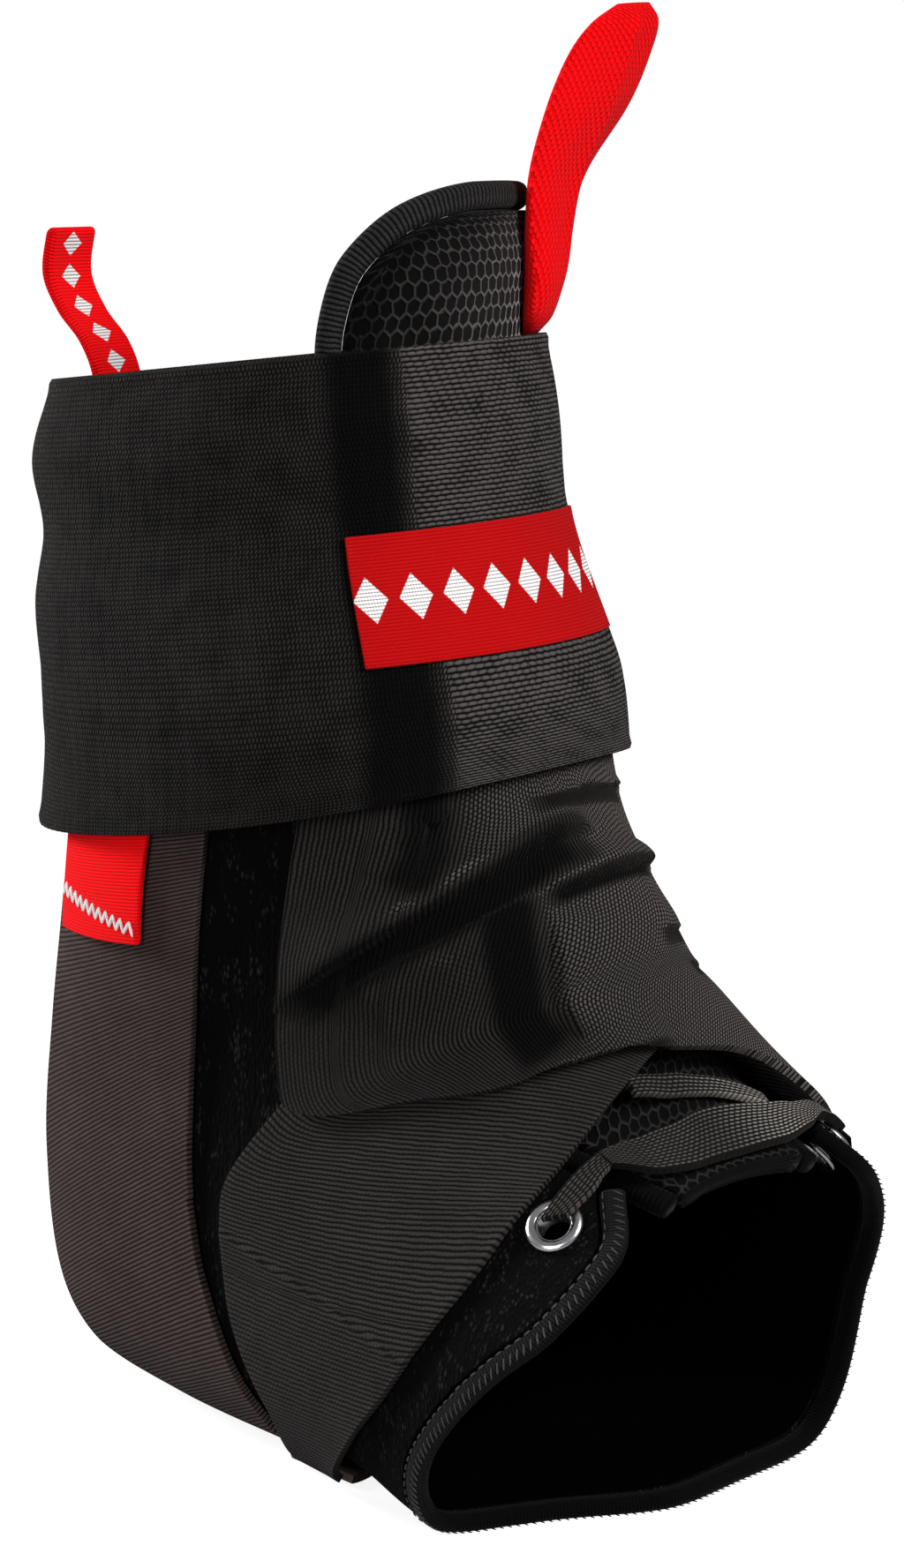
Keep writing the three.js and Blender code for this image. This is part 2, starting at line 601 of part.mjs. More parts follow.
// The tongue's padded panel inside that binding
function tongueGeometry() {
  const top = tonguePanelEdge(0.5).at + PANEL_TOP_STEP;
  const bottom = TONGUE_SHAPE[TONGUE_SHAPE.length - 1].at;
  return wallGeometry(20, 8, (u, v, side) => {
    const at = mix(top, bottom, u ** PANEL_CROWDING);
    const turn = mix(...tongueSpan(at), v);
    return layerPoint(at, turn, mix(-TONGUE_EASE - TONGUE_WALL, -TONGUE_EASE, side));
  });
}

// The two turns between which the tongue's panel lies at a place, inside its binding
function tongueSpan(at) {
  return [0, 1].map((bottom) => {
    let [below, above] = [bottom, 0.5];
    for (let i = 0; i < 24; i += 1) {
      const middle = (below + above) / 2;
      if (tonguePanelEdge(middle).at > at) below = middle;
      else above = middle;
    }
    return tonguePanelEdge(below).turn;
  });
}

// Depth of a level: -1 on the tongue, 0 on the body, 1 over a strap
function levelDepth(level) {
  return level < 0 ? mix(UNDER, ON_TONGUE, -level) : mix(UNDER, OVER, level);
}

// Straps: a wall between two edges, lifted to its level
function strapGeometry(table, wall, options = {}) {
  const { steps = 24, across = 6, mirrored = false, levels, lift = () => 0 } = options;
  const last = table.length - 1;
  const sign = mirrored ? -1 : 1;
  const column = (key) => rowCurve(table, key);
  const [rearAt, rearTurn] = [column("rearAt"), column("rearTurn")];
  const [frontAt, frontTurn] = [column("frontAt"), column("frontTurn")];
  const levelRows = levels ?? table.map((row) => row.level);
  const level = (place) => {
    const i = Math.min(Math.floor(place), last - 1);
    return mix(levelRows[i], levelRows[i + 1], smooth(0, 1, place - i));
  };
  return wallGeometry(steps, across, (u, v, side) => {
    const place = u * last;
    const at = mix(rearAt(place), frontAt(place), v);
    const turn = sign * mix(rearTurn(place), frontTurn(place), v);
    const depth = levelDepth(level(place)) + side * wall;
    return layerPoint(at, turn, depth + lift(at, turn));
  });
}

// Height of the wrap's folds at a place, none under the cuff
function wrapFolds(at, turn) {
  const cuffEdgeHeight = CUFF_TOP_HEIGHT - CUFF_HEIGHT;
  const free = smooth(legPlace(cuffEdgeHeight), legPlace(cuffEdgeHeight - FOLD_FADE), at);
  const { down, round } = formSlopes(at, turn);
  const [atScale, turnScale] = [down.length(), round.length()];
  let height = 0;
  for (const fold of WRAP_FOLDS) {
    const start = [(at - fold.at) * atScale, (turn - fold.turn) * turnScale];
    const run = [(fold.toAt - fold.at) * atScale, (fold.toTurn - fold.turn) * turnScale];
    const share = (start[0] * run[0] + start[1] * run[1]) / (run[0] ** 2 + run[1] ** 2);
    const near = THREE.MathUtils.clamp(share, 0, 1);
    const distance = Math.hypot(start[0] - near * run[0], start[1] - near * run[1]);
    height = Math.max(height, fold.height * Math.exp(-((distance / fold.spread) ** 2)));
  }
  return height * free;
}

// Cuff: close to the body at its top, over both strap layers at its lower edge, with soft bulges
const cuffTop = legPlace(CUFF_TOP_HEIGHT);
const cuffBottom = legPlace(CUFF_TOP_HEIGHT - CUFF_HEIGHT);
const cuffBehind = columnCurve(CUFF_BULGES, "down", "behind");
const cuffFront = columnCurve(CUFF_BULGES, "down", "front");
function cuffDepth(at, turn) {
  const down = (at - cuffTop) / (cuffBottom - cuffTop);
  const behind = Math.max(Math.cos(radians(turn - CUFF_BULGE_TURN)), 0);
  const front = Math.max(Math.cos(radians(turn)), 0);
  const seat = mix(UNDER, CUFF_SEAT, smooth(CUFF_FLARE_START, CUFF_FLARE_END, at));
  return seat + cuffBehind(down) * behind + cuffFront(down) * front;
}

function upperCuffGeometry() {
  return wallGeometry(
    9,
    38,
    (u, v, side) => {
      const at = mix(cuffTop, cuffBottom, u);
      const turn = 360 * v;
      return layerPoint(at, turn, cuffDepth(at, turn) + side * CUFF_WALL);
    },
    true,
  );
}

// Label: a patch on the front of the cuff
function cuffLabelGeometry() {
  const top = legPlace(LABEL_HEIGHT_ON_LEG);
  const bottom = legPlace(LABEL_HEIGHT_ON_LEG - LABEL_HEIGHT);
  const middle = (top + bottom) / 2;
  const perDegree = formSlopes(middle, 0).round.length() * (1 + (2 * (UNDER + CUFF_WALL)) / LEG_DEPTH);
  const sweep = LABEL_WIDTH / perDegree;
  return wallGeometry(2, 10, (u, v, side) => {
    const at = mix(top, bottom, u);
    const turn = LABEL_TURN - sweep * v;
    return layerPoint(at, turn, cuffDepth(at, turn) + CUFF_WALL + CLEARANCE + side * LABEL_WALL);
  });
}

// Tongue tab: a padded leaf seated on the tongue, leaning outwards above it
function tonguePullTabGeometry() {
  const out = columnCurve(TONGUE_TAB_SHAPE, "along", "out");
  const width = columnCurve(TONGUE_TAB_SHAPE, "along", "width");
  const thick = columnCurve(TONGUE_TAB_SHAPE, "along", "thick");
  const twist = columnCurve(TONGUE_TAB_SHAPE, "along", "twist");
  const foot = formPoint(TONGUE_TAB_FOOT, TONGUE_TAB_TURN);
  const normal = formNormal(TONGUE_TAB_FOOT, TONGUE_TAB_TURN);
  const { down, round } = formSlopes(TONGUE_TAB_FOOT, TONGUE_TAB_TURN);
  const up = down.normalize().negate();
  const side = round.normalize();
  const rings = 14;
  const corners = 12;
  const points = [];
  for (let i = 0; i <= rings; i += 1) {
    const along = i / rings;
    const seat = ON_TONGUE + (thick(along) * TONGUE_TAB_THICKNESS) / 2;
    const centre = foot
      .clone()
      .addScaledVector(up, along * TONGUE_TAB_LENGTH)
      .addScaledVector(normal, out(along) * TONGUE_TAB_LENGTH + seat);
    const turned = radians(twist(along));
    const wide = side.clone().multiplyScalar(Math.cos(turned)).addScaledVector(normal, -Math.sin(turned));
    const deep = normal.clone().multiplyScalar(Math.cos(turned)).addScaledVector(side, Math.sin(turned));
    for (let j = 0; j < corners; j += 1) {
      const angle = (2 * Math.PI * j) / corners;
      points.push(
        centre
          .clone()
          .addScaledVector(wide, (Math.cos(angle) * width(along) * TONGUE_TAB_WIDTH) / 2)
          .addScaledVector(deep, (Math.sin(angle) * thick(along) * TONGUE_TAB_THICKNESS) / 2),
      );
    }
  }
  return tubeGeometry(points, rings, corners);
}

// Closed tube from rings of points, capped flat at both ends
function tubeGeometry(points, rings, corners) {
  const triangles = [];
  const index = (i, j) => i * corners + (j % corners);
  for (let i = 0; i < rings; i += 1) {
    for (let j = 0; j < corners; j += 1) {
      triangles.push([index(i, j), index(i, j + 1), index(i + 1, j + 1)]);
      triangles.push([index(i, j), index(i + 1, j + 1), index(i + 1, j)]);
    }
  }
  for (let j = 1; j < corners - 1; j += 1) {
    triangles.push([index(0, 0), index(0, j + 1), index(0, j)]);
    triangles.push([index(rings, 0), index(rings, j), index(rings, j + 1)]);
  }
  if (signedVolume(points, triangles) < 0) triangles.forEach((triangle) => triangle.reverse());
  return wholeGeometry(points, triangles);
}

// Rear tab: folded webbing inside the body's rear wall, curving back above it
function rearPullTabGeometry() {
  const back = columnCurve(REAR_TAB_SHAPE, "along", "back");
  const rootAt = legPlace(CUFF_TOP_HEIGHT - REAR_TAB_LENGTH * REAR_TAB_SHAPE[1].along);
  const { down, round } = formSlopes(rootAt, REAR_TAB_TURN);
  const root = formPoint(rootAt, REAR_TAB_TURN);
  const normal = formNormal(rootAt, REAR_TAB_TURN);
  const up = down.normalize().negate();
  const side = round.normalize();
  const bend = (REAR_TAB_WIDTH / 2) ** 2 / LEG_DEPTH;
  return wallGeometry(12, 2, (u, v, face) => {
    const across = 2 * v - 1;
    const inside = CLEARANCE + REAR_TAB_THICKNESS * (1 - face) + bend * across ** 2;
    const reach = back(u) * REAR_TAB_LENGTH - inside;
    return root
      .clone()
      .addScaledVector(up, u * REAR_TAB_LENGTH)
      .addScaledVector(side, (across * REAR_TAB_WIDTH) / 2)
      .addScaledVector(normal, reach);
  });
}

const CLOTH = { roughness: 0.9, metalness: 0 };
const METAL = { roughness: 0.3, metalness: 1 };
const BLACK = 0x17171a;
const GROSGRAIN = 0x342d2b;
const ELASTIC = 0x3a3836;
const RED = 0xe00812;

const pieces = new THREE.Group();
function addPiece(name, geometry, colour, finish = CLOTH) {
  geometry.computeVertexNormals();
  const mesh = new THREE.Mesh(geometry, new THREE.MeshStandardMaterial({ color: colour, ...finish }));
  mesh.name = name;
  pieces.add(mesh);
}

addPiece("brace_body", bodyGeometry(), BLACK);
addPiece("toe_binding", toeBindingGeometry(), 0x1c1c1c);
addPiece("tongue", tongueGeometry(), 0x232323);
addPiece("tongue_binding", tongueBindingGeometry(), 0x404040);
addPiece("tongue_pull_tab", tonguePullTabGeometry(), RED);
addPiece("rear_pull_tab", rearPullTabGeometry(), RED);
addPiece("upper_cuff", upperCuffGeometry(), 0x262524);
addPiece("cuff_label", cuffLabelGeometry(), 0xc00008);
function addStrap(name, table, wall, colour, options) {
  addPiece(name, strapGeometry(table, wall, options), colour);
}
const heelSteps = { steps: 32, across: 5 };
const outerHeel = { ...heelSteps, levels: OUTER_STRAP_LEVELS };
const innerHeel = { ...heelSteps, levels: INNER_STRAP_LEVELS, mirrored: true };
addStrap("outer_heel_strap", HEEL_STRAP, STRAP_WALL, GROSGRAIN, outerHeel);
addStrap("inner_heel_strap", HEEL_STRAP, STRAP_WALL, GROSGRAIN, innerHeel);
addStrap("cross_strap", CROSS_STRAP, STRAP_WALL, 0x262624, { steps: 20, across: 8 });
addStrap("ankle_wrap", ANKLE_WRAP, STRAP_WALL, 0x2c2b2a, { steps: 25, across: 12, lift: wrapFolds });
addStrap("side_tag", SIDE_TAG, TAG_WALL, RED, { steps: 6, across: 4 });
addStrap("instep_elastic", INSTEP_ELASTIC, LACE_WALL, ELASTIC, { steps: 10, across: 4 });
addStrap("instep_elastic_upper", INSTEP_ELASTIC_UPPER, LACE_WALL, ELASTIC, { steps: 5, across: 2 });
const laceSteps = { steps: 4, across: 2 };
addStrap("outer_lace_end", OUTER_LACE_END, LACE_WALL, ELASTIC, laceSteps);
addStrap("inner_lace_end", INNER_LACE_END, LACE_WALL, ELASTIC, { ...laceSteps, mirrored: true });
addPiece("outer_eyelet", eyeletGeometry(EYELET_TURN), 0xd0d0d2, METAL);
addPiece("inner_eyelet", eyeletGeometry(-EYELET_TURN), 0xd0d0d2, METAL);

// The whole stands on its sole, its origin under the middle of its outline
const box = new THREE.Box3().setFromObject(pieces);
const middle = box.getCenter(new THREE.Vector3());
pieces.position.set(-middle.x, -middle.y, -box.min.z);

const group = new THREE.Group();
group.add(pieces);
export default group;
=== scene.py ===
"""Ankle brace: woven straps, knitted cuff, padded tongue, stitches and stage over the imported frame."""

import math

import bmesh
import bpy
import numpy as np
from mathutils import Matrix, Vector


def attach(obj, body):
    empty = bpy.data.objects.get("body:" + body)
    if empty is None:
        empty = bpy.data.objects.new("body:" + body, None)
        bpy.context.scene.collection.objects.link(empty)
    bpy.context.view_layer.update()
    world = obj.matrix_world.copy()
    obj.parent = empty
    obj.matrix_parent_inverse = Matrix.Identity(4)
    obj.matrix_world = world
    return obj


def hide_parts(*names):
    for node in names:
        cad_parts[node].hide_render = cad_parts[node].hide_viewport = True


bl_info = {
    "name": "Ankle Brace",
    "version": (1, 0, 0),
    "blender": (4, 5, 0),
    "location": "View3D > Sidebar > Ankle Brace",
    "description": "Builds a worn ankle brace with a strap system, piece by piece",
    "category": "Object",
}

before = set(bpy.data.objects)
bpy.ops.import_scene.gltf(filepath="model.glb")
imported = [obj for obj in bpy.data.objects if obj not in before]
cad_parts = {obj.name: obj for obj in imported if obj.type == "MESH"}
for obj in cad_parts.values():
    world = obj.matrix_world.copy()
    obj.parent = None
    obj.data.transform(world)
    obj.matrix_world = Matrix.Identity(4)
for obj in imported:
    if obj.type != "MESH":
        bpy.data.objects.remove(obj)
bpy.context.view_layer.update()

MM = 0.001

# Driving sizes of the form, the surface that every cloth piece follows.
# A place on it is (at, turn): at runs from the top of the tongue (0) to the toe edge (1),
# turn goes round it in degrees, 0 in front and on top, 90 on the outer side, 180 behind.
LEG_LENGTH = 96 * MM
LEG_DEPTH = 80 * MM
LEG_WIDTH = 76 * MM
LEG_LEAN = math.radians(8)
ANKLE_HEIGHT = 126 * MM
ANKLE_X = 4 * MM
FOOT_LENGTH = 165 * MM
FOOT_WIDTH = 90 * MM
SOLE_ROUND = 4 * MM
FORM_SHIFT = np.array((-19.82486, -0.78542, 0)) * MM

# Walls and gaps
BODY_WALL = 2.4 * MM
STRAP_WALL = 1.6 * MM
CUFF_WALL = 2 * MM
TONGUE_WALL = 4 * MM
BINDING_WALL = 3.2 * MM
BINDING_RISE = 0.4 * MM
LABEL_WALL = 0.8 * MM
TAG_WALL = 1.2 * MM
LACE_WALL = 1.6 * MM
CLEARANCE = 0.45 * MM
TONGUE_EASE = 0.9 * MM

# Sizes of the pieces
CUFF_HEIGHT = 77 * MM
CUFF_TOP_HEIGHT = 69 * MM
BODY_TOP_DROP = 2 * MM
BINDING_WIDTH = 4 * MM
TONGUE_BINDING_WIDTH = 5 * MM
LABEL_HEIGHT = 22.5 * MM
LABEL_WIDTH = 58 * MM
LABEL_HEIGHT_ON_LEG = 38 * MM
TONGUE_TAB_LENGTH = 55 * MM
TONGUE_TAB_WIDTH = 24 * MM
TONGUE_TAB_THICKNESS = 6.5 * MM
TAB_RIDGE = 1.1 * MM
REAR_TAB_LENGTH = 38 * MM
REAR_TAB_WIDTH = 14 * MM
REAR_TAB_THICKNESS = 2.4 * MM
EYELET_BORE = 5.6 * MM
EYELET_FLANGE = 10 * MM

# Depths of the layers over the form, from the foot outwards
ON_TONGUE = -TONGUE_EASE + CLEARANCE
UNDER = BODY_WALL + CLEARANCE + 0.1 * MM
OVER = UNDER + STRAP_WALL + CLEARANCE + 0.35 * MM
CUFF_SEAT = OVER + STRAP_WALL + CLEARANCE + 0.45 * MM
SOLE_STACK = OVER + STRAP_WALL
TOE_STACK = BODY_WALL + BINDING_RISE

# Where things change along the form, and turns in degrees
LEG_SHARE = 0.32
FOOT_START = 0.34
FOOT_FULL = 0.74
TOE_START = 0.8
TOE_FULL = 0.9
SOLE_RISE_START = 0.82
SOLE_RISE_END = 0.885
CUFF_FLARE_START = 0.18
CUFF_FLARE_END = 0.3
EYELET_AT = 0.883
TONGUE_TAB_FOOT = 0.09
TONGUE_LEAN = 6 * MM
BODY_GAP_OUTER = 16
BODY_GAP_INNER = -60
CUFF_BULGE_TURN = 138
LABEL_TURN = 34
TONGUE_TAB_TURN = -35
REAR_TAB_TURN = 160
EYELET_TURN = 51

# Exponents of a section's curve: 2 is an ellipse, more is squarer
ROUND_POWER = 2
INSTEP_SQUARER = 0.1
SOLE_SQUARER = 0.7
TOE_SQUARER = 0.9

# Leg sections: up as a share of LEG_LENGTH, front and back of LEG_DEPTH, side of LEG_WIDTH
LEG_SECTIONS = [
    (1.0, 0.505, -0.505, 0.478),
    (0.68, 0.505, -0.525, 0.502),
    (0.36, 0.505, -0.545, 0.525),
    (0.06, 0.53, -0.545, 0.55),
]

# Foot sections: at, top x, top z, back x, back z, side, shift and ridge, x as shares of
# FOOT_LENGTH, z of ANKLE_HEIGHT and the rest of FOOT_WIDTH
FOOT_SECTIONS = [
    (0.38, 0.3, 0.945, -0.285, 0.72, 0.462, 0, 0.02),
    (0.46, 0.352, 0.86, -0.332, 0.5, 0.44, 0, 0.03),
    (0.54, 0.397, 0.79, -0.356, 0.27, 0.425, 0, 0.04),
    (0.62, 0.42, 0.732, -0.289, 0.06, 0.43, 0, 0.05),
    (0.7, 0.445, 0.69, -0.09, 0, 0.44, 0.01, 0.06),
    (0.79, 0.495, 0.612, 0.17, 0, 0.465, 0.02, 0.07),
    (0.89, 0.56, 0.545, 0.4, -0.02, 0.49, 0.03, 0.07),
    (1.0, 0.66, 0.49, 0.6, -0.02, 0.495, 0.04, 0.07),
]

# The toe edge as (turn, at), from the outer flap round the sole to the inner flap
TOE_EDGE = [
    (36, 0.902),
    (47, 0.948),
    (58, 0.96),
    (72, 0.952),
    (84, 0.925),
    (98, 0.9),
    (114, 0.886),
    (132, 0.892),
    (152, 0.918),
    (180, 0.955),
    (212, 0.955),
    (240, 0.948),
    (270, 0.94),
    (295, 0.945),
    (312, 0.94),
    (324, 0.902),
]

# The tongue as (at, half width, middle), both turns
TONGUE_SHAPE = [
    (0.0, 30, -37),
    (0.01, 50, -36),
    (0.035, 62, -34),
    (0.062, 67, -33),
    (0.095, 69, -32),
    (0.3, 61, -25),
    (0.5, 48, -10),
    (0.7, 40, 0),
    (0.93, 32, 0),
]

# Straps as rows of (rear at, rear turn, front at, front turn, level). Level 0 lies next to the
# body, 1 over another strap and -1 on the tongue.
HEEL_STRAP = [
    (0.25, 126, 0.25, 70),
    (0.345, 130, 0.345, 69),
    (0.45, 140, 0.44, 73),
    (0.54, 146, 0.53, 78),
    (0.6, 150, 0.618, 89),
    (0.635, 154, 0.68, 109),
    (0.665, 163, 0.73, 125),
    (0.697, 177, 0.768, 140),
    (0.726, 192, 0.792, 165),
    (0.752, 206, 0.805, 194),
    (0.775, 219, 0.812, 220),
]
OUTER_STRAP_LEVELS = [0] * len(HEEL_STRAP)
INNER_STRAP_LEVELS = [0, 0, 0, 0, 0.15, 0.75, 1, 1, 1, 1, 1]
CROSS_STRAP = [
    (0.784, 138, 0.813, 136, 1),
    (0.763, 127, 0.832, 116, 0.4),
    (0.72, 114, 0.847, 96, 0),
    (0.665, 91, 0.86, 70, 0),
    (0.63, 77, 0.851, 54, 0),
    (0.595, 55, 0.834, 38, 0),
    (0.56, 38, 0.795, 19, 0),
    (0.53, 12, 0.74, -4, 0),
    (0.49, -16, 0.7, -30, 0),
]
ANKLE_WRAP = [
    (0.784, -138, 0.813, -136, 0.3),
    (0.745, -121, 0.84, -106, 0.8),
    (0.69, -99, 0.855, -80, 1),
    (0.61, -82, 0.865, -56, 1),
    (0.51, -71, 0.845, -36, 1),
    (0.41, -58, 0.805, -18, 1),
    (0.33, -40, 0.775, 0, 1),
    (0.305, -16, 0.75, 13, 1),
    (0.305, 8, 0.728, 29, 1),
    (0.305, 29, 0.667, 39, 1),
    (0.305, 47, 0.597, 51, 1),
]
INSTEP_ELASTIC = [
    (0.852, 33, 0.876, 34, 0.3),
    (0.858, 22, 0.912, 27, -0.2),
    (0.856, 12, 0.922, 16, -0.6),
    (0.85, 2, 0.924, 2, -0.8),
    (0.862, -12, 0.926, -14, -0.6),
    (0.872, -24, 0.912, -27, -0.2),
    (0.875, -33, 0.895, -34, 0.3),
]
INSTEP_ELASTIC_UPPER = [
    (0.778, 14, 0.804, 16, 0),
    (0.789, 5, 0.821, 6, -0.6),
    (0.801, -4, 0.829, -4, -0.9),
    (0.817, -14, 0.842, -14, -0.95),
    (0.836, -24, 0.854, -24, -0.95),
]
OUTER_LACE_END = [
    (0.877, 52, 0.893, 49, 0.55),
    (0.867, 46, 0.889, 42, 0.5),
    (0.858, 40, 0.879, 37, 0.35),
    (0.852, 33.4, 0.876, 34.4, 0.3),
]
INNER_LACE_END = [
    (0.877, 52, 0.893, 49, 0.55),
    (0.874, 46, 0.893, 42, 0.5),
    (0.874, 40, 0.893, 38, 0.35),
    (0.875, 33.4, 0.895, 34.4, 0.3),
]
SIDE_TAG = [
    (0.305, 115, 0.305, 82, 1),
    (0.345, 117, 0.345, 83, 1),
    (0.398, 121, 0.417, 88, 1),
]

# Lines of the wrap's folds as (at, turn)
MAIN_FOLD = [(0.5, 47), (0.485, 38), (0.47, 28), (0.458, 20), (0.447, 12), (0.437, 4), (0.434, -8)]
MAIN_RIM = [(0.462, 31), (0.4525, 26), (0.4425, 17), (0.4325, 5), (0.43, -8)]
MAIN_VALLEY = [
    (0.52, 50), (0.4985, 41), (0.486, 34), (0.482, 28), (0.477, 23),
    (0.471, 18), (0.461, 13), (0.447, 6), (0.436, -5),
]
SECOND_RIM = [(0.512, 38), (0.5, 30), (0.495, 22), (0.487, 14), (0.48, 6)]
LIT_EDGE = [(0.5, 38), (0.496, 32), (0.501, 26), (0.522, 18)]
LIT_RIM = [(0.489, 18), (0.484, 9), (0.477, 1), (0.472, -10)]
FRONT_FOLD = [(0.494, 9), (0.489, 3), (0.485, -1), (0.48, -7), (0.477, -18)]
UPPER_VALLEY = [(0.32, 24), (0.37, 23), (0.41, 23.5), (0.45, 27)]
LONG_VALLEY = [(0.46, 13), (0.5, 13), (0.56, 13.5), (0.63, 15), (0.69, 18), (0.745, 21)]
LONG_EDGE = [(0.5, 8.5), (0.56, 9), (0.63, 10.5), (0.69, 13.5), (0.74, 16.5)]
LOW_FOLD = [(0.735, 27), (0.75, 20), (0.757, 12), (0.762, 2)]
INNER_FOLDS = [
    [(0.372, 6), (0.37, -12), (0.378, -30)],
    [(0.56, -6), (0.555, -20), (0.56, -34)],
    [(0.65, -10), (0.655, -24), (0.66, -36)],
]

# Creases as (line, height of the rim beside it, how far the rim spreads, side), the rim above
# the line (1) or below it (-1)
WRAP_CREASES = [
    (MAIN_FOLD, 4.6, 6.5, 1),
    (SECOND_RIM, 3.4, 8, -1),
    (FRONT_FOLD, 3.2, 4.5, 1),
    (UPPER_VALLEY, 2.4, 7, 1),
    (LONG_EDGE, 3, 10, -1),
    (LOW_FOLD, 2.2, 5, 1),
    (INNER_FOLDS[0], 1.8, 5, 1),
    (INNER_FOLDS[1], 0.9, 6, 1),
    (INNER_FOLDS[2], 0.7, 6, 1),
]

# Painted light and shade along those lines as (line, millimetres above it, spread, amount): a negative
# amount paints shade in a fold, a positive one a highlight on a rim
WRAP_PAINTED_STROKES = [
    (MAIN_VALLEY, -0.4, 4.3, -1),
    (MAIN_RIM, 0, 1.5, 0.8),
    (LIT_RIM, 0, 1.4, 0.8),
    (LIT_EDGE, 0, 1.6, 0.3),
    (FRONT_FOLD, -0.5, 1.5, -1),
    (UPPER_VALLEY, 0, 4.8, -0.8),
    (LONG_VALLEY, 0, 5.4, -1),
    (LOW_FOLD, -1.6, 1.8, -0.9),
    (LOW_FOLD, 1, 1.2, 0.4),
    (INNER_FOLDS[0], -1.5, 1.8, -0.7),
    (INNER_FOLDS[1], -1.5, 1.8, -0.7),
    (INNER_FOLDS[2], -1.5, 1.8, -0.7),
]
CREASE_RIM = 0.9 * MM
CREASE_WALL = 0.9 * MM
FOLD_FADE = 10 * MM

# Bulges of the cuff as (share down, height behind, height in front), in millimetres
CUFF_BULGES = [
    (0, 0, 0),
    (0.18, 4.2, 1),
    (0.34, 2.8, 0.4),
    (0.5, 3.8, 0),
    (0.68, 1.4, 0),
    (0.84, 0.2, 0.6),
    (1, 0, 0),
]

# Tongue tab as (along, out, width, thickness, twist), shares of its length, width and
# thickness, with the twist in degrees
TONGUE_TAB_SHAPE = [
    (0, 0, 0.3, 0.4, 0),
    (0.05, 0.006, 0.56, 0.8, 0),
    (0.16, 0.025, 0.7, 1, 2),
    (0.32, 0.058, 0.82, 0.95, 9),
    (0.5, 0.12, 0.95, 0.9, 18),
    (0.7, 0.235, 1, 0.95, 30),
    (0.86, 0.335, 0.9, 0.8, 36),
    (0.95, 0.405, 0.7, 0.6, 38),
    (1, 0.45, 0.34, 0.35, 38),
]

# Rear tab as (along, back), how far it leans back along its length
REAR_TAB_SHAPE = [(0, 0), (0.28, 0), (0.45, 0.06), (0.6, 0.17), (0.78, 0.24), (1, 0.2)]
REAR_TAB_PLY = 1.05 * MM

# The step down the cuff where its outer layer ends, its hems and the fine crimp of its knit
CUFF_STEP_TURN = 21
CUFF_STEP_RISE = 0.3 * MM
CUFF_HEM = 2.2 * MM
CUFF_HEM_RISE = 0.3 * MM
CUFF_CRIMP = 0.12 * MM

# Stitches: the whips lean over the toe binding, the zigzag runs across the side tag
WHIP_LENGTH = 2.1 * MM
WHIP_PITCH = 1.5 * MM
WHIP_RADIUS = 0.17 * MM
WHIP_TILT = 1.1
STITCH_SINK = 0.05 * MM
ZIGZAGS = 22
ZIGZAG_MARGIN = 0.04
ZIGZAG_SWING = 0.035
ZIGZAG_RADIUS = 0.32 * MM

# Eyelets: half the inner flange, their sheet and the gap of the inner flange from the body
EYELET_INNER_REACH = 4.4 * MM
EYELET_SHEET = 0.9 * MM
EYELET_INNER_GAP = 0.6 * MM
EYELET_HOLE_MARGIN = 1 * MM

# Frames of a padded piece's cloth run, and the least width that a sheet's size is worked out
# with. The least width that a sheet is declared with
SIMULATION_FRAMES = 20
NARROWEST_CUT = 10.1 * MM

# The floor: half its side and the light it gives off, dull under the brace so that the
# shadow stays faint
FLOOR_GLOW = (0.86, 0.86, 0.86)
FLOOR_GLOW_AWAY = (1.02, 1.02, 1.02)
FLOOR_HALF = 1.2
BLACK = (0.0, 0.0, 0.0)

# Soft lights as (name, size, azimuth, elevation, distance)
LIGHTS = [
    ("key", 0.4, 102, 34, 1.0),
    ("fill", 0.6, 20, 12, 1.1),
    ("rear", 0.4, -62, 24, 1.1),
]


def srgb(red, green, blue):
    """Linear colour of one given from 0 to 255."""
    shares = [part / 255 for part in (red, green, blue)]
    return tuple(part / 12.92 if part < 0.04045 else ((part + 0.055) / 1.055) ** 2.4 for part in shares)


def mix(low, high, share):
    """The value a share of the way from low to high."""
    return low + (high - low) * share


def smooth(low, high, value):
    """0 below low, 1 above high and a smooth rise between."""
    share = np.clip((value - low) / (high - low), 0, 1)
    return share * share * (3 - 2 * share)


def curve_through(places, values):
    """Smooth curve through values at places, straight beyond its ends."""
    places = np.asarray(places, float)
    values = np.asarray(values, float)
    count = len(places)
    before = np.maximum(np.arange(count) - 1, 0)
    after = np.minimum(np.arange(count) + 1, count - 1)
    slopes = (values[after] - values[before]) / (places[after] - places[before])

    def curve(place):
        place = np.asarray(place, float)
        i = np.clip(np.searchsorted(places, place, side="right") - 1, 0, count - 2)
        step = places[i + 1] - places[i]
        share = (place - places[i]) / step
        t = np.clip(share, 0, 1)
        inside = (
            values[i] * (2 * t**3 - 3 * t**2 + 1)
            + slopes[i] * step * (t**3 - 2 * t**2 + t)
            + values[i + 1] * (3 * t**2 - 2 * t**3)
            + slopes[i + 1] * step * (t**3 - t**2)
        )
        return inside + np.where(share < 0, slopes[i], slopes[i + 1]) * (share - t) * step

    return curve


def column_curves(rows):
    """A curve for each column of rows but the first, which holds the places."""
    columns = list(zip(*rows))
    return [curve_through(columns[0], column) for column in columns[1:]]


def row_curves(rows):
    """A curve for each column of evenly spaced rows."""
    return [curve_through(range(len(rows)), column) for column in zip(*rows)]


def leg_place(height):
    """Where a height over the ankle, measured along the leg, lies on the form."""
    return (1 - height / LEG_LENGTH) * LEG_SHARE


CUFF_TOP = leg_place(CUFF_TOP_HEIGHT)
CUFF_BOTTOM = leg_place(CUFF_TOP_HEIGHT - CUFF_HEIGHT)


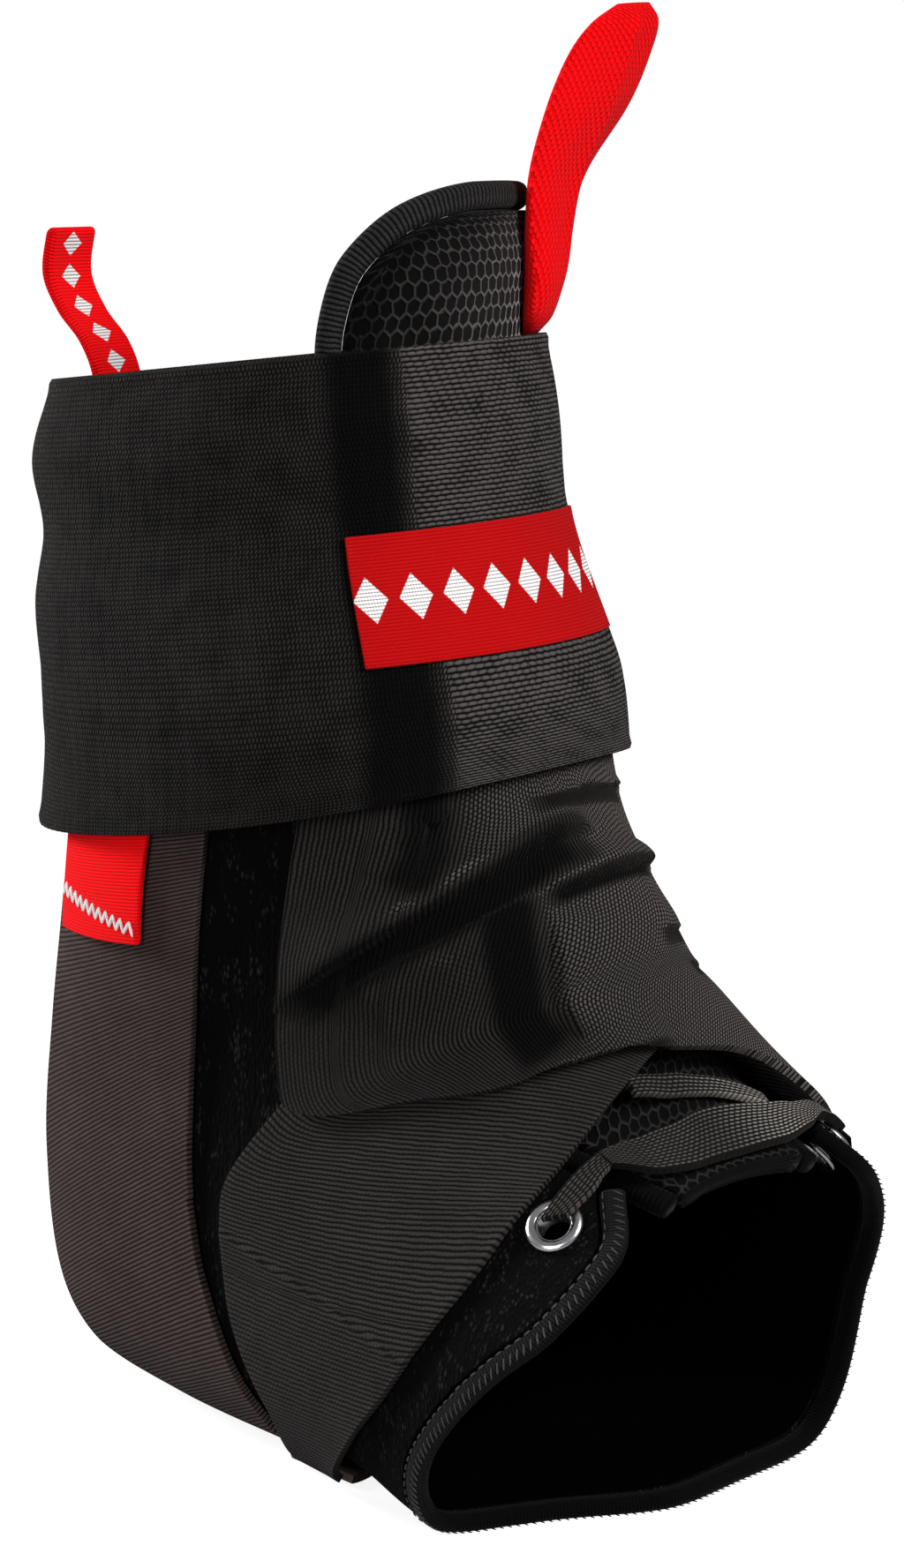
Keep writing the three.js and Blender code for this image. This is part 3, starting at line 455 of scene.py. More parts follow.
def form_rows():
    """The section tables in metres, the leg leaned back about the ankle."""

    def leaned(x, z):
        return (
            ANKLE_X + x * math.cos(LEG_LEAN) - z * math.sin(LEG_LEAN),
            ANKLE_HEIGHT + x * math.sin(LEG_LEAN) + z * math.cos(LEG_LEAN),
        )

    rows = []
    for up, front, back, side in LEG_SECTIONS:
        top = leaned(front * LEG_DEPTH, up * LEG_LENGTH)
        rear = leaned(back * LEG_DEPTH, up * LEG_LENGTH)
        rows.append(((1 - up) * LEG_SHARE, *top, *rear, side * LEG_WIDTH, 0, 0))
    for at, top_x, top_z, back_x, back_z, side, shift, ridge in FOOT_SECTIONS:
        top = (top_x * FOOT_LENGTH, top_z * ANKLE_HEIGHT)
        rear = (back_x * FOOT_LENGTH, back_z * ANKLE_HEIGHT)
        rows.append((at, *top, *rear, side * FOOT_WIDTH, shift * FOOT_WIDTH, ridge * FOOT_WIDTH))
    return rows


FORM_COLUMNS = column_curves(form_rows())


def flattened(lift):
    """Flat below the sole, rounded into it over SOLE_ROUND, and unchanged above."""
    rounded = (lift + SOLE_ROUND) ** 2 / (4 * SOLE_ROUND)
    return np.where(lift >= SOLE_ROUND, lift, np.where(lift <= -SOLE_ROUND, 0, rounded))


def form_point(at, turn):
    """A point of the form: a rounded section between its front and back, with a flat sole."""
    at, turn = np.broadcast_arrays(np.clip(at, 0, 1), turn)
    top_x, top_z, back_x, back_z, half, shift, ridge = (column(at) for column in FORM_COLUMNS)
    depth = np.hypot(top_x - back_x, top_z - back_z) / 2
    along = np.cos(np.radians(turn))
    across = np.sin(np.radians(turn))
    foot = smooth(FOOT_START, FOOT_FULL, at)
    toe = smooth(TOE_START, TOE_FULL, at)
    squarer = np.where(along > 0, INSTEP_SQUARER * foot, SOLE_SQUARER * foot + TOE_SQUARER * toe)
    power = ROUND_POWER + squarer
    radius = (np.abs(along / depth) ** power + np.abs(across / half) ** power) ** (-1 / power)
    reach = radius * along / depth / 2
    x = (top_x + back_x) / 2 + reach * (top_x - back_x)
    y = -radius * across + shift + ridge * np.maximum(along, 0)
    z = (top_z + back_z) / 2 + reach * (top_z - back_z)
    sole = mix(SOLE_STACK, TOE_STACK, smooth(SOLE_RISE_START, SOLE_RISE_END, at))
    return np.stack([x, y, sole + flattened(z - sole)], -1) + FORM_SHIFT


# Small steps along and round the form, to work out its slopes
NUDGE = 0.002
NUDGE_TURN = 0.36


def form_slopes(at, turn):
    """How the form runs at a place, for a whole at and for one degree."""
    low = np.maximum(at - NUDGE, 0)
    high = np.minimum(at + NUDGE, 1)
    down = (form_point(high, turn) - form_point(low, turn)) / np.asarray(high - low)[..., None]
    ahead = form_point(at, turn + NUDGE_TURN)
    return down, (ahead - form_point(at, turn - NUDGE_TURN)) / (2 * NUDGE_TURN)


def unit(vectors):
    """The vectors, one metre long."""
    return vectors / np.linalg.norm(vectors, axis=-1, keepdims=True)


def form_normal(at, turn):
    """The way out of the form at a place."""
    down, around = form_slopes(at, turn)
    return unit(np.cross(around, down))


def layer_point(at, turn, depth):
    """A point that lies depth outside the form."""
    return form_point(at, turn) + form_normal(at, turn) * np.asarray(depth)[..., None]


def level_depth(level):
    """Depth of a level: -1 on the tongue, 0 next to the body, 1 over a strap."""
    return np.where(level < 0, mix(UNDER, ON_TONGUE, -level), mix(UNDER, OVER, level))


def tongue_lean(at, turn):
    """How far the tongue leans out of the form towards its top, earlier in the body's gap."""
    free = smooth(BODY_GAP_OUTER, BODY_GAP_OUTER - 12, turn)
    free = free * smooth(BODY_GAP_INNER, BODY_GAP_INNER + 8, turn)
    return TONGUE_LEAN * mix(smooth(CUFF_TOP - 0.004, 0, at), smooth(0.15, -0.01, at), free)


def inset_edge(edge, width):
    """An edge moved sideways over the form, to the left of its direction."""

    def moved(v):
        step = 0.002
        at, turn = edge(v)
        at_before, turn_before = edge(np.maximum(v - step, 0))
        at_after, turn_after = edge(np.minimum(v + step, 1))
        down, around = (np.linalg.norm(slope, axis=-1) for slope in form_slopes(at, turn))
        along_down = (at_after - at_before) * down
        along_round = (turn_after - turn_before) * around
        length = np.hypot(along_down, along_round)
        return at - along_round / length * width / down, turn + along_down / length * width / around

    return moved


toe_turn_curve, toe_at_curve = row_curves(TOE_EDGE)


def toe_edge(v):
    """The toe edge, from the outer flap (0) round the sole to the inner flap (1)."""
    place = v * (len(TOE_EDGE) - 1)
    return toe_at_curve(place), toe_turn_curve(place)


toe_binding_edge = inset_edge(toe_edge, BINDING_WIDTH)
body_toe_edge = inset_edge(toe_edge, BINDING_WIDTH + CLEARANCE)

TONGUE_OUTLINE = [(at, middle + half) for at, half, middle in reversed(TONGUE_SHAPE)]
TONGUE_OUTLINE += [(at, middle - half) for at, half, middle in TONGUE_SHAPE]


def outline_places(outline):
    """How far along an outline its rows lie, from their distances on the form."""
    at, turn = np.array(outline).T
    steps = np.hypot(np.diff(at) * LEG_LENGTH / LEG_SHARE, np.radians(np.diff(turn)) * LEG_DEPTH / 2)
    return np.concatenate([[0], np.cumsum(steps) / np.sum(steps)])


tongue_at_curve, tongue_turn_curve = (
    curve_through(outline_places(TONGUE_OUTLINE), column) for column in zip(*TONGUE_OUTLINE)
)


def tongue_edge(v):
    """The tongue's outline, up the outer edge, over the top and down the inner edge."""
    return np.maximum(tongue_at_curve(v), 0), tongue_turn_curve(v)


tongue_inner_edge = inset_edge(tongue_edge, TONGUE_BINDING_WIDTH)
tongue_panel_edge = inset_edge(tongue_edge, TONGUE_BINDING_WIDTH + 0.04 * MM)


class Strap:
    """A band over the form between two edges, at a level that changes along it."""

    def __init__(self, rows, levels=None, mirrored=False, wall=STRAP_WALL, lift=None):
        self.last = len(rows) - 1
        self.sign = -1 if mirrored else 1
        self.wall = wall
        self.lift = lift
        self.levels = np.array(levels if levels else [row[4] for row in rows], float)
        self.edges = row_curves([row[:4] for row in rows])

    def place(self, u, v):
        """Where a share along (u) and across (v) the band lies on the form."""
        rear_at, rear_turn, front_at, front_turn = (edge(u * self.last) for edge in self.edges)
        return mix(rear_at, front_at, v), self.sign * mix(rear_turn, front_turn, v)

    def depth(self, u, v):
        """Depth of the band's outer face."""
        place = np.asarray(u * self.last)
        i = np.minimum(np.floor(place).astype(int), self.last - 1)
        level = mix(self.levels[i], self.levels[i + 1], smooth(0, 1, place - i))
        depth = level_depth(level) + self.wall
        if self.lift:
            depth = depth + self.lift(*self.place(u, v))
        return depth

    def point(self, u, v):
        """A point of the outer face."""
        return layer_point(*self.place(u, v), self.depth(u, v))


def beside_line(line, at, turn):
    """How far places lie above a line over the form, and 1 beside its middle, 0 at its ends."""
    line_at, line_turn = np.array(line).T
    stops = layer_point(line_at, line_turn, OVER + STRAP_WALL)
    points = layer_point(at, turn, OVER + STRAP_WALL)
    down, around = form_slopes(at, turn)
    normals = unit(np.cross(around, down))
    best = np.full(len(points), np.inf)
    signed = np.zeros(len(points))
    along = np.zeros(len(points))
    start = 0
    for a, b in zip(stops[:-1], stops[1:]):
        length = np.linalg.norm(b - a)
        run = (b - a) / length
        reach = np.clip((points - a) @ run, 0, length)
        offset = points - a - reach[:, None] * run
        distance = np.linalg.norm(offset, axis=1)
        beside = np.cross(normals, run)
        beside *= -np.sign(np.sum(beside * down, axis=1))[:, None]
        nearer = distance < best
        best = np.where(nearer, distance, best)
        signed = np.where(nearer, np.sign(np.sum(offset * beside, axis=1)) * distance, signed)
        along = np.where(nearer, start + reach, along)
        start += length
    fade = 0.16 * start
    return signed, smooth(0, fade, along) * smooth(0, fade, start - along)


def under_cuff(at):
    """1 where the wrap lies free below the cuff and 0 under it."""
    cuff_edge = CUFF_TOP_HEIGHT - CUFF_HEIGHT
    return smooth(leg_place(cuff_edge), leg_place(cuff_edge - FOLD_FADE), at)


def wrap_lift(at, turn):
    """Height of the wrap's folds: each a rim that falls steeply to its line, slowly beyond."""
    shape = np.shape(at)
    at = np.ravel(at)
    turn = np.ravel(turn)
    height = np.zeros(len(at))
    for line, rise, spread, side in WRAP_CREASES:
        signed, ends = beside_line(line, at, turn)
        away = signed * side - CREASE_RIM
        fall = np.where(away > 0, away / (spread * MM), away / CREASE_WALL)
        height = np.maximum(height, rise * MM * np.exp(-(fall**2)) * mix(0.15, 1, ends))
    return (height * under_cuff(at)).reshape(shape)


def wrap_painted_shading(at, turn):
    """Painted light and shade of the wrap: painted shade in its folds, painted highlights on their rims
    and painted light towards the front.
    """
    # Painted light growing towards the front, where the key light falls, and a little painted shade
    # elsewhere
    front = smooth(27, 8, turn) * 0.62 + smooth(8, -30, turn) * 0.5
    painted_tone = front * smooth(-75, -55, turn) - 0.1
    # Painted highlights (light) and painted shade (dark) from the strokes
    light = np.zeros(len(at))
    dark = np.zeros(len(at))
    for line, offset, spread, amount in WRAP_PAINTED_STROKES:
        signed, ends = beside_line(line, at, turn)
        painted_stroke = np.exp(-(((signed / MM - offset) / spread) ** 4)) * ends * abs(amount)
        if amount > 0:
            light = np.maximum(light, painted_stroke)
        else:
            dark = np.maximum(dark, painted_stroke)
    return mix(np.maximum(painted_tone, light), -1, dark)


cuff_behind, cuff_front = column_curves(CUFF_BULGES)


def cuff_depth(at, turn):
    """Depth of the cuff's inner face, with its soft bulges."""
    down = (at - CUFF_TOP) / (CUFF_BOTTOM - CUFF_TOP)
    behind = np.maximum(np.cos(np.radians(turn - CUFF_BULGE_TURN)), 0)
    front = np.maximum(np.cos(np.radians(turn)), 0)
    seat = mix(UNDER, CUFF_SEAT, smooth(CUFF_FLARE_START, CUFF_FLARE_END, at))
    return seat + (cuff_behind(down) * behind + cuff_front(down) * front) * MM


def lattice_mesh(rows, columns, point, looped=False, outward=None, shade=None, fanned=False):
    """Bmesh grid with its vertices at point(u, v), u down and v across.

    Its UV map, cloth, holds metres across and along the cloth. Its attribute, edge, holds the
    metres to the nearer side edge. outward(u, v) is the way its faces should look. The shading
    function, given (u, v), gives the light (up to 1) or shade (down to -1) painted on its threads,
    which the mesh keeps per vertex in an attribute. A fanned cloth keeps its number of threads
    where it narrows.
    """
    bm = bmesh.new()
    bmesh.ops.create_grid(bm, x_segments=columns, y_segments=rows, size=1)
    v, u = (np.array([vertex.co[:2] for vertex in bm.verts]).T + 1) / 2
    row = np.rint(u * rows).astype(int)
    column = np.rint(v * columns).astype(int)
    points = point(u, v)
    lattice = np.zeros((rows + 1, columns + 1, 3))
    lattice[row, column] = points
    steps = np.linalg.norm(np.diff(lattice, axis=1), axis=2)
    across = np.pad(np.cumsum(steps, axis=1), ((0, 0), (1, 0)))
    width = across[:, -1:]
    middle = lattice[:, columns // 2]
    along = np.pad(np.cumsum(np.linalg.norm(np.diff(middle, axis=0), axis=1)), (1, 0))
    if fanned:
        centred = (v - 0.5) * np.max(width)
    else:
        centred = (across - width / 2)[row, column]
    nearer = np.minimum(across, width - across)[row, column]
    edge = bm.verts.layers.float.new("edge")
    # Painted light and painted shade of the threads, kept per vertex
    painted_tone = bm.verts.layers.float.new("shade")
    painted_tones = shade(u, v) if shade else np.zeros(len(u))
    for vertex, place, distance, value in zip(bm.verts, points, nearer, painted_tones):
        vertex.co = place
        vertex[edge] = distance
        vertex[painted_tone] = value
    cloth = bm.loops.layers.uv.new("cloth")
    bm.verts.index_update()
    for face in bm.faces:
        for loop in face.loops:
            i = loop.vert.index
            loop[cloth].uv = (centred[i], along[row[i]])
    if outward is not None:
        bm.normal_update()
        bm.faces.ensure_lookup_table()
        face = bm.faces[len(bm.faces) // 2]
        i = face.verts[0].index
        if face.normal.dot(Vector(outward(u[i], v[i]))) < 0:
            bmesh.ops.reverse_faces(bm, faces=bm.faces)
    if looped:
        bmesh.ops.remove_doubles(bm, verts=bm.verts, dist=1e-6)
    return bm, {"width": float(np.mean(width)), "length": float(along[-1])}


def stadium(across_steps, rim_share, rim_steps):
    """A rounded flat loop as shares across (v) and through (side), closed on itself."""
    flat = np.linspace(rim_share, 1 - rim_share, across_steps + 1)
    bend = np.linspace(math.pi / 2, -math.pi / 2, rim_steps + 1)[1:-1]
    far_v = 1 - rim_share + rim_share * np.cos(bend)
    far_side = 0.5 + 0.5 * np.sin(bend)
    v = np.concatenate([flat, far_v, flat[::-1], 1 - far_v, flat[:1]])
    ones = np.ones(len(flat))
    side = np.concatenate([ones, far_side, 0 * ones, far_side[::-1], ones[:1]])
    return v, side


def close_ends(bm):
    """Closes a tube's open ends and turns its faces outwards."""
    boundary = [edge for edge in bm.edges if edge.is_boundary]
    caps = bmesh.ops.holes_fill(bm, edges=boundary, sides=0)["faces"]
    bmesh.ops.triangulate(bm, faces=caps)
    bmesh.ops.recalc_face_normals(bm, faces=bm.faces)


def tube_mesh(rows, loop, point, shade):
    """Closed tube: point(u, v, side) along rows and round a loop of (v, side) shares."""
    loop_v, loop_side = loop
    columns = len(loop_v) - 1

    def looped_point(u, w):
        i = np.rint(w * columns).astype(int)
        return point(u, loop_v[i], loop_side[i])

    # Painted light and painted shade at each point of the loop
    def looped_painted_shading(u, w):
        i = np.rint(w * columns).astype(int)
        return shade(u, loop_v[i], loop_side[i])

    bm, size = lattice_mesh(rows, columns, looped_point, looped=True, shade=looped_painted_shading)
    size["width"] /= 2
    close_ends(bm)
    return bm, size


def show(name, bm, material, replaces=()):
    """Makes a piece of a bmesh: finish, smooth faces, its body and the nodes it replaces."""
    mesh = bpy.data.meshes.new(name)
    bm.to_mesh(mesh)
    bm.free()
    piece = bpy.data.objects.new(name, mesh)
    bpy.context.scene.collection.objects.link(piece)
    mesh.materials.append(material)
    mesh.shade_smooth()
    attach(piece, "root")
    if replaces:
        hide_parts(*replaces)
    return piece


def add_wall(piece, thickness, rim):
    """Gives a sheet its thickness, inwards, and rounds the rim."""
    wall = piece.modifiers.new("wall", "SOLIDIFY")
    wall.thickness = thickness
    wall.offset = -1
    rounding = piece.modifiers.new("rim", "BEVEL")
    rounding.width = rim
    rounding.segments = 3
    rounding.limit_method = "ANGLE"
    rounding.angle_limit = math.radians(55)
    rounding.use_clamp_overlap = True


def mesh_points(mesh):
    """A mesh's points as an array."""
    points = np.zeros(len(mesh.vertices) * 3)
    mesh.vertices.foreach_get("co", points)
    return points.reshape(-1, 3)


def inflate(piece, pressure, cap):
    """Swells a closed soft piece in a short cloth simulation and applies it.

    No point moves further than cap, one length or one for each point.
    """
    scene = bpy.context.scene
    rest = mesh_points(piece.data)
    cloth = piece.modifiers.new("cloth", "CLOTH")
    cloth.settings.quality = 4
    cloth.settings.mass = 0.2
    cloth.settings.use_pressure = True
    cloth.settings.uniform_pressure_force = pressure
    cloth.settings.effector_weights.gravity = 0
    cloth.point_cache.frame_end = SIMULATION_FRAMES
    for number in range(1, SIMULATION_FRAMES + 1):
        scene.frame_set(number)
    depsgraph = bpy.context.evaluated_depsgraph_get()
    swollen = mesh_points(piece.evaluated_get(depsgraph).data)
    piece.modifiers.remove(cloth)
    scene.frame_set(1)
    move = swollen - rest
    length = np.linalg.norm(move, axis=1)
    move *= np.minimum(1, cap / np.maximum(length, 1e-9))[:, None]
    piece.data.vertices.foreach_set("co", (rest + move).ravel())
    piece.data.update()


def even_stops(line, pitch):
    """Points at even distances along line(t), as shares t."""
    shares = np.linspace(0, 1, 400)
    steps = np.linalg.norm(np.diff(line(shares), axis=0), axis=1)
    distance = np.pad(np.cumsum(steps), (1, 0))
    count = max(int(distance[-1] / pitch), 2)
    stops = (np.arange(count) + 0.5) / count * distance[-1]
    return np.interp(stops, distance, shares)


def add_stitch(bm, start, end, normal, radius):
    """One low thread stitch between two points, with its middle a little raised."""
    run = Vector(end) - Vector(start)
    along = run.normalized()
    beside = Vector(normal).cross(along).normalized()
    out = along.cross(beside)
    basis = Matrix([beside * radius, out * radius, along * run.length / 2]).transposed().to_4x4()
    place = Matrix.Translation((Vector(start) + Vector(end)) / 2)
    bmesh.ops.create_uvsphere(bm, u_segments=6, v_segments=5, radius=1, matrix=place @ basis)


def stitch_line(name, place, depth, material, length, pitch, radius, tilt=0.0):
    """A row of stitches along place(t) = (at, turn), tilt turning them in their plane."""

    def line(t):
        return layer_point(*place(t), depth)

    bm = bmesh.new()
    for t in even_stops(line, pitch):
        centre = line(t)
        normal = form_normal(*place(t))
        run = unit(line(t + 0.002) - line(t - 0.002))
        beside = np.cross(normal, run)
        way = run * math.cos(tilt) + beside * math.sin(tilt)
        add_stitch(bm, centre - way * length / 2, centre + way * length / 2, normal, radius)
    return show(name, bm, material)


class Socket:
    """An output of a shader node. Arithmetic on it adds Math nodes."""

    def __init__(self, shader, link):
        self.shader = shader
        self.link = link

    def math(self, operation, *others):
        """A Math node on this and other values."""
        inputs = dict(enumerate((self, *others)))
        return self.shader.node("ShaderNodeMath", {"operation": operation}, inputs)

    def __add__(self, other):
        return self.math("ADD", other)

    def __sub__(self, other):
        return self.math("SUBTRACT", other)

    def __mul__(self, other):
        return self.math("MULTIPLY", other)

    def __truediv__(self, other):
        return self.math("DIVIDE", other)

    def __mod__(self, other):
        return self.math("FLOORED_MODULO", other)

    def __rsub__(self, other):
        return self * -1 + other

    def __abs__(self):
        return self.math("ABSOLUTE")

    __radd__ = __add__
    __rmul__ = __mul__


class Shader:
    """A material's node tree under way."""

    def __init__(self, name):
        self.material = bpy.data.materials.new(name)
        self.material.use_nodes = True
        self.tree = self.material.node_tree
        self.tree.nodes.clear()

    def node(self, kind, settings=None, inputs=None, output=0):
        """Adds a node: its settings first, then the values or links of its inputs."""
        node = self.tree.nodes.new(kind)
        for name, value in (settings or {}).items():
            setattr(node, name, value)
        for name, value in (inputs or {}).items():
            if isinstance(value, Socket):
                self.tree.links.new(value.link, node.inputs[name])
            else:
                node.inputs[name].default_value = value
        return None if output is None else Socket(self, node.outputs[output])

    def cloth_place(self):
        """Millimetres across and along the cloth, from its UV map."""
        place = self.node("ShaderNodeUVMap", {"uv_map": "cloth"})
        across = self.node("ShaderNodeSeparateXYZ", inputs={0: place}, output=0)
        along = self.node("ShaderNodeSeparateXYZ", inputs={0: place}, output=1)
        return across * 1000, along * 1000

    def object_place(self):
        """Position in the row frame."""
        return self.node("ShaderNodeTexCoord", output=3)

    def attribute(self, name):
        """A number that the mesh carries."""
        return self.node("ShaderNodeAttribute", {"attribute_name": name}, output=2)

    def joined(self, x, y):
        """A vector of two numbers."""
        return self.node("ShaderNodeCombineXYZ", inputs={0: x, 1: y})

    def noise(self, place, scale, detail=2.0):
        """Noise from 0 to 1."""
        inputs = {"Vector": place, "Scale": scale, "Detail": detail, "Roughness": 0.5}
        return self.node("ShaderNodeTexNoise", inputs=inputs)

    def cells(self, place, scale):
        """Distance to the nearest scattered point."""
        return self.node("ShaderNodeTexVoronoi", {"feature": "F1"}, {"Vector": place, "Scale": scale})

    def rise(self, value, low, high):
        """0 below low, 1 above high and a smooth rise between."""
        inputs = {"Value": value, "From Min": low, "From Max": high}
        return self.node("ShaderNodeMapRange", {"interpolation_type": "SMOOTHSTEP"}, inputs)

    def blend(self, share, low, high):
        """A colour between two, each a colour or a link."""
        colours = [(*c, 1) if isinstance(c, tuple) else c for c in (low, high)]
        inputs = {0: share, 6: colours[0], 7: colours[1]}
        return self.node("ShaderNodeMix", {"data_type": "RGBA"}, inputs, output=2)

    def bump(self, height, distance, normal=None):
        """A normal from a height of 0 to 1 and its distance in metres."""
        inputs = {"Height": height, "Distance": distance, "Strength": 1.0}
        if normal:
            inputs["Normal"] = normal
        return self.node("ShaderNodeBump", inputs=inputs)

    def finish(self, colour, roughness, normal=None, sheen=0.0, metallic=0.0, specular=0.5, glow=None):
        """The material, from its colour, roughness and normal."""
        inputs = {
            "Base Color": colour if isinstance(colour, Socket) else (*colour, 1),
            "Roughness": roughness,
            "Metallic": metallic,
            "Specular IOR Level": specular,
            "Sheen Weight": sheen,
            "Sheen Roughness": 0.4,
        }
        if glow:
            inputs["Emission Color"] = glow
            inputs["Emission Strength"] = 1.0
        if normal:
            inputs["Normal"] = normal
        surface = self.node("ShaderNodeBsdfPrincipled", inputs=inputs)
        self.node("ShaderNodeOutputMaterial", inputs={"Surface": surface}, output=None)
        return self.material


def wave(value, pitch):
    """Rounded ridges from 0 to 1, one every pitch."""
    return abs((value * (math.pi / pitch)).math("SINE"))


def rib_weave(shader, across, along, sizes):
    """Ribs across a band, each broken into short floats."""
    pitch = sizes.rib_pitch / MM
    place = shader.joined(across, along)
    wander = shader.noise(place, 0.35) - 0.5
    rib = wave(along + wander * 0.5, pitch)
    row = ((along + wander * 0.5) / pitch).math("FLOOR")
    floats = wave(across + row * (pitch * 0.5), pitch)
    # Floats stand out more where light is painted on the cloth
    dotted = shader.rise(shader.attribute("shade"), -0.05, 0.4) * 0.5 + 0.25
    return rib * (floats * dotted + (1 - dotted))


def grosgrain_weave(shader, across, along, sizes):
    """Fine close ribs across a band, with faint lengthwise lines."""
    pitch = sizes.rib_pitch / MM * 0.92
    wander = shader.noise(shader.joined(across, along), 0.5) - 0.5
    rib = wave(along + wander * 0.3, pitch)
    floats = wave(across, pitch * 0.5)
    return rib * 0.8 + floats * 0.2


def dash_weave(shader, across, along, sizes):
    """Lengthwise rows of short dashes, as on a flat elastic."""
    pitch = sizes.elastic_pitch / MM
    row = (across / pitch).math("FLOOR")
    ridge = wave(across, pitch)
    dash = wave(along + row * (pitch * 0.8), pitch * 1.5)
    return ridge * ridge * (dash * 0.8 + 0.2)


def knit_weave(shader, across, along, sizes):
    """Small upright grains in staggered rows, as on a knitted cuff."""
    pitch = sizes.knit_pitch / MM
    place = shader.joined(across, along)
    wander = shader.noise(place, 0.4, 3.0) - 0.5
    row = ((along + wander * 0.4) / pitch).math("FLOOR")
    upright = wave(across + row * (pitch * 0.4) + wander * 0.6, pitch * 0.8)
    level = wave(along + wander * 0.4, pitch)
    grains = upright * (level * 0.6 + 0.4)
    dashes = level * (wave(across + row * (pitch * 0.9), pitch * 2) * 0.5 + 0.5)
    # The front, found by the light painted on the cuff there, has dashes in place of grains
    front = shader.rise(shader.attribute("shade"), 0.32, 0.44)
    uneven = shader.noise(place, 0.16, 3.0) * 1.3 + 0.3
    return (grains + (dashes - grains) * front) * uneven


def webbing_weave(shader, across, along, sizes):
    """Close cross ribs of a narrow woven tape."""
    rib = wave(along, 0.62)
    return rib * 0.7 + wave(across, 0.5) * 0.3


def mesh_weave(shader, across, along, sizes):
    """Net of thin threads round open six-sided cells, longer than they are wide."""
    row = math.sqrt(3)
    wander = shader.noise(shader.joined(across, along), 0.3) - 0.5
    x = across / (sizes.cell_width / MM) + wander * 0.5
    y = along * (row / 1.5 / (sizes.cell_length / MM)) + wander * 0.5

    def centre_distance(shift):
        aside = abs(((x + shift) % 1.0) - 0.5)
        ahead = abs(((y + shift * row) % row) - row / 2)
        return (aside * 0.5 + ahead * (row / 2)).math("MAXIMUM", aside)

    return shader.rise(centre_distance(0.0).math("MINIMUM", centre_distance(0.5)), 0.33, 0.49)


def fine_mesh_weave(shader, across, along, sizes):
    """The same with small round cells."""
    place = 2 * math.pi / 1.3
    first = (across * place + along * place * 0.6).math("COSINE")
    second = (across * place - along * place * 0.6).math("COSINE")
    return shader.rise(first + second, -1.2, 1.6)


def lozenge_chain(shader, across, along, wide, long, middle=0.0):
    """Mask of a plain chain of lozenges down the middle of a band."""
    x = abs(across - middle) / (wide / 2)
    y = abs(((along / long) % 1.0) - 0.5) * 2.4
    return 1 - shader.rise(x + y, 0.86, 0.94)


def cloth_material(name, colour, weave, sizes, relief, worn=0.2, gap_shade=0.08, light=3, pattern=None):
    """Woven cloth: shade painted into the gaps between its threads and sheen painted on their
    tops, with random tone, worn at its edges, with a soft fuzz. The mesh's painted light and
    painted shade are laid over it.

    The gap shade and light are the shares of the colour that the gaps (painted shade) and the
    lightest threads (painted sheen, random tone and wear) have.
    """
    shader = Shader(name)
    across, along = shader.cloth_place()
    place = shader.object_place()
    height = weave(shader, across, along, sizes)
    patches = shader.noise(place, 60, 3.0)
    fuzz = shader.noise(place, 2600, 1.0)
    # Painted light where positive, painted shade where negative, from the mesh
    painted_tone = shader.attribute("shade")
    wear = (1 - shader.rise(shader.attribute("edge") * 1000, 0.2, 1.2)) * worn
    colour = tuple(colour)
    # Lighter thread tops: painted sheen, reached with random tone and wear
    bright = tuple(min(part * light + 0.004, 1) for part in colour)
    # Painted highlight, where the mesh paints light
    painted_highlight = tuple(min(part * light * 4.5 + 0.014, 1) for part in colour)
    # Painted shade in the gaps between the threads
    dark = tuple(part * gap_shade for part in colour)
    blotches = shader.noise(place, 260, 2.0)
    body = (patches + blotches) * 0.5 - 0.1 + wear + fuzz * 0.3
    body = shader.blend(body, colour, bright)
    body = shader.blend(shader.rise(painted_tone, 0.0, 1.0), body, painted_highlight)
    floor = shader.blend(patches * 0.3, dark, colour)
    if pattern:
        mask = pattern(shader, across, along)
        # White print, greyer in its gaps with painted shade
        white = shader.blend(height, srgb(170, 165, 165), srgb(246, 244, 243))
        body = shader.blend(mask, body, white)
        floor = shader.blend(mask, floor, srgb(150, 140, 140))
    # Painted shade in the gaps, painted sheen on the raised threads
    surface = shader.blend(shader.rise(height, 0.2, 0.85), floor, body)
    # Painted shade: black where the mesh paints shade
    surface = shader.blend(shader.rise(painted_tone, 0.0, -1.0) * 0.94, surface, (0.0, 0.0, 0.0))
    normal = shader.bump(fuzz, 0.05 * MM, shader.bump(height, relief))
    return shader.finish(surface, 0.94 - height * 0.12, normal, sheen=0.02, specular=0.06)


def pile_material(name, colour):
    """Loop pile: a near black ground with highlights painted on fine loops in upright streaks, painted
    black where the mesh paints shade.
    """
    shader = Shader(name)
    place = shader.object_place()
    inputs = {0: place, 1: (1, 1, 0.4)}
    stretched = shader.node("ShaderNodeVectorMath", {"operation": "MULTIPLY"}, inputs)
    loops = shader.cells(stretched, 1500)
    streaks = shader.noise(stretched, 420, 2.0)
    loop_highlight = shader.rise(loops, 0.5, 0.15) * shader.rise(streaks, 0.45, 0.7)
    colour = tuple(colour)
    # Painted highlight colour of the loops
    bright = tuple(min(part * 9 + 0.005, 1) for part in colour)
    tint = shader.blend(loop_highlight, colour, bright)
    # Painted shade: black where the mesh paints shade
    tint = shader.blend(shader.rise(shader.attribute("shade"), 0.0, -1.0), tint, BLACK)
    normal = shader.bump(streaks, 0.25 * MM, shader.bump(1 - loops, 0.3 * MM))
    return shader.finish(tint, 0.96 - loop_highlight * 0.15, normal, specular=0.05)


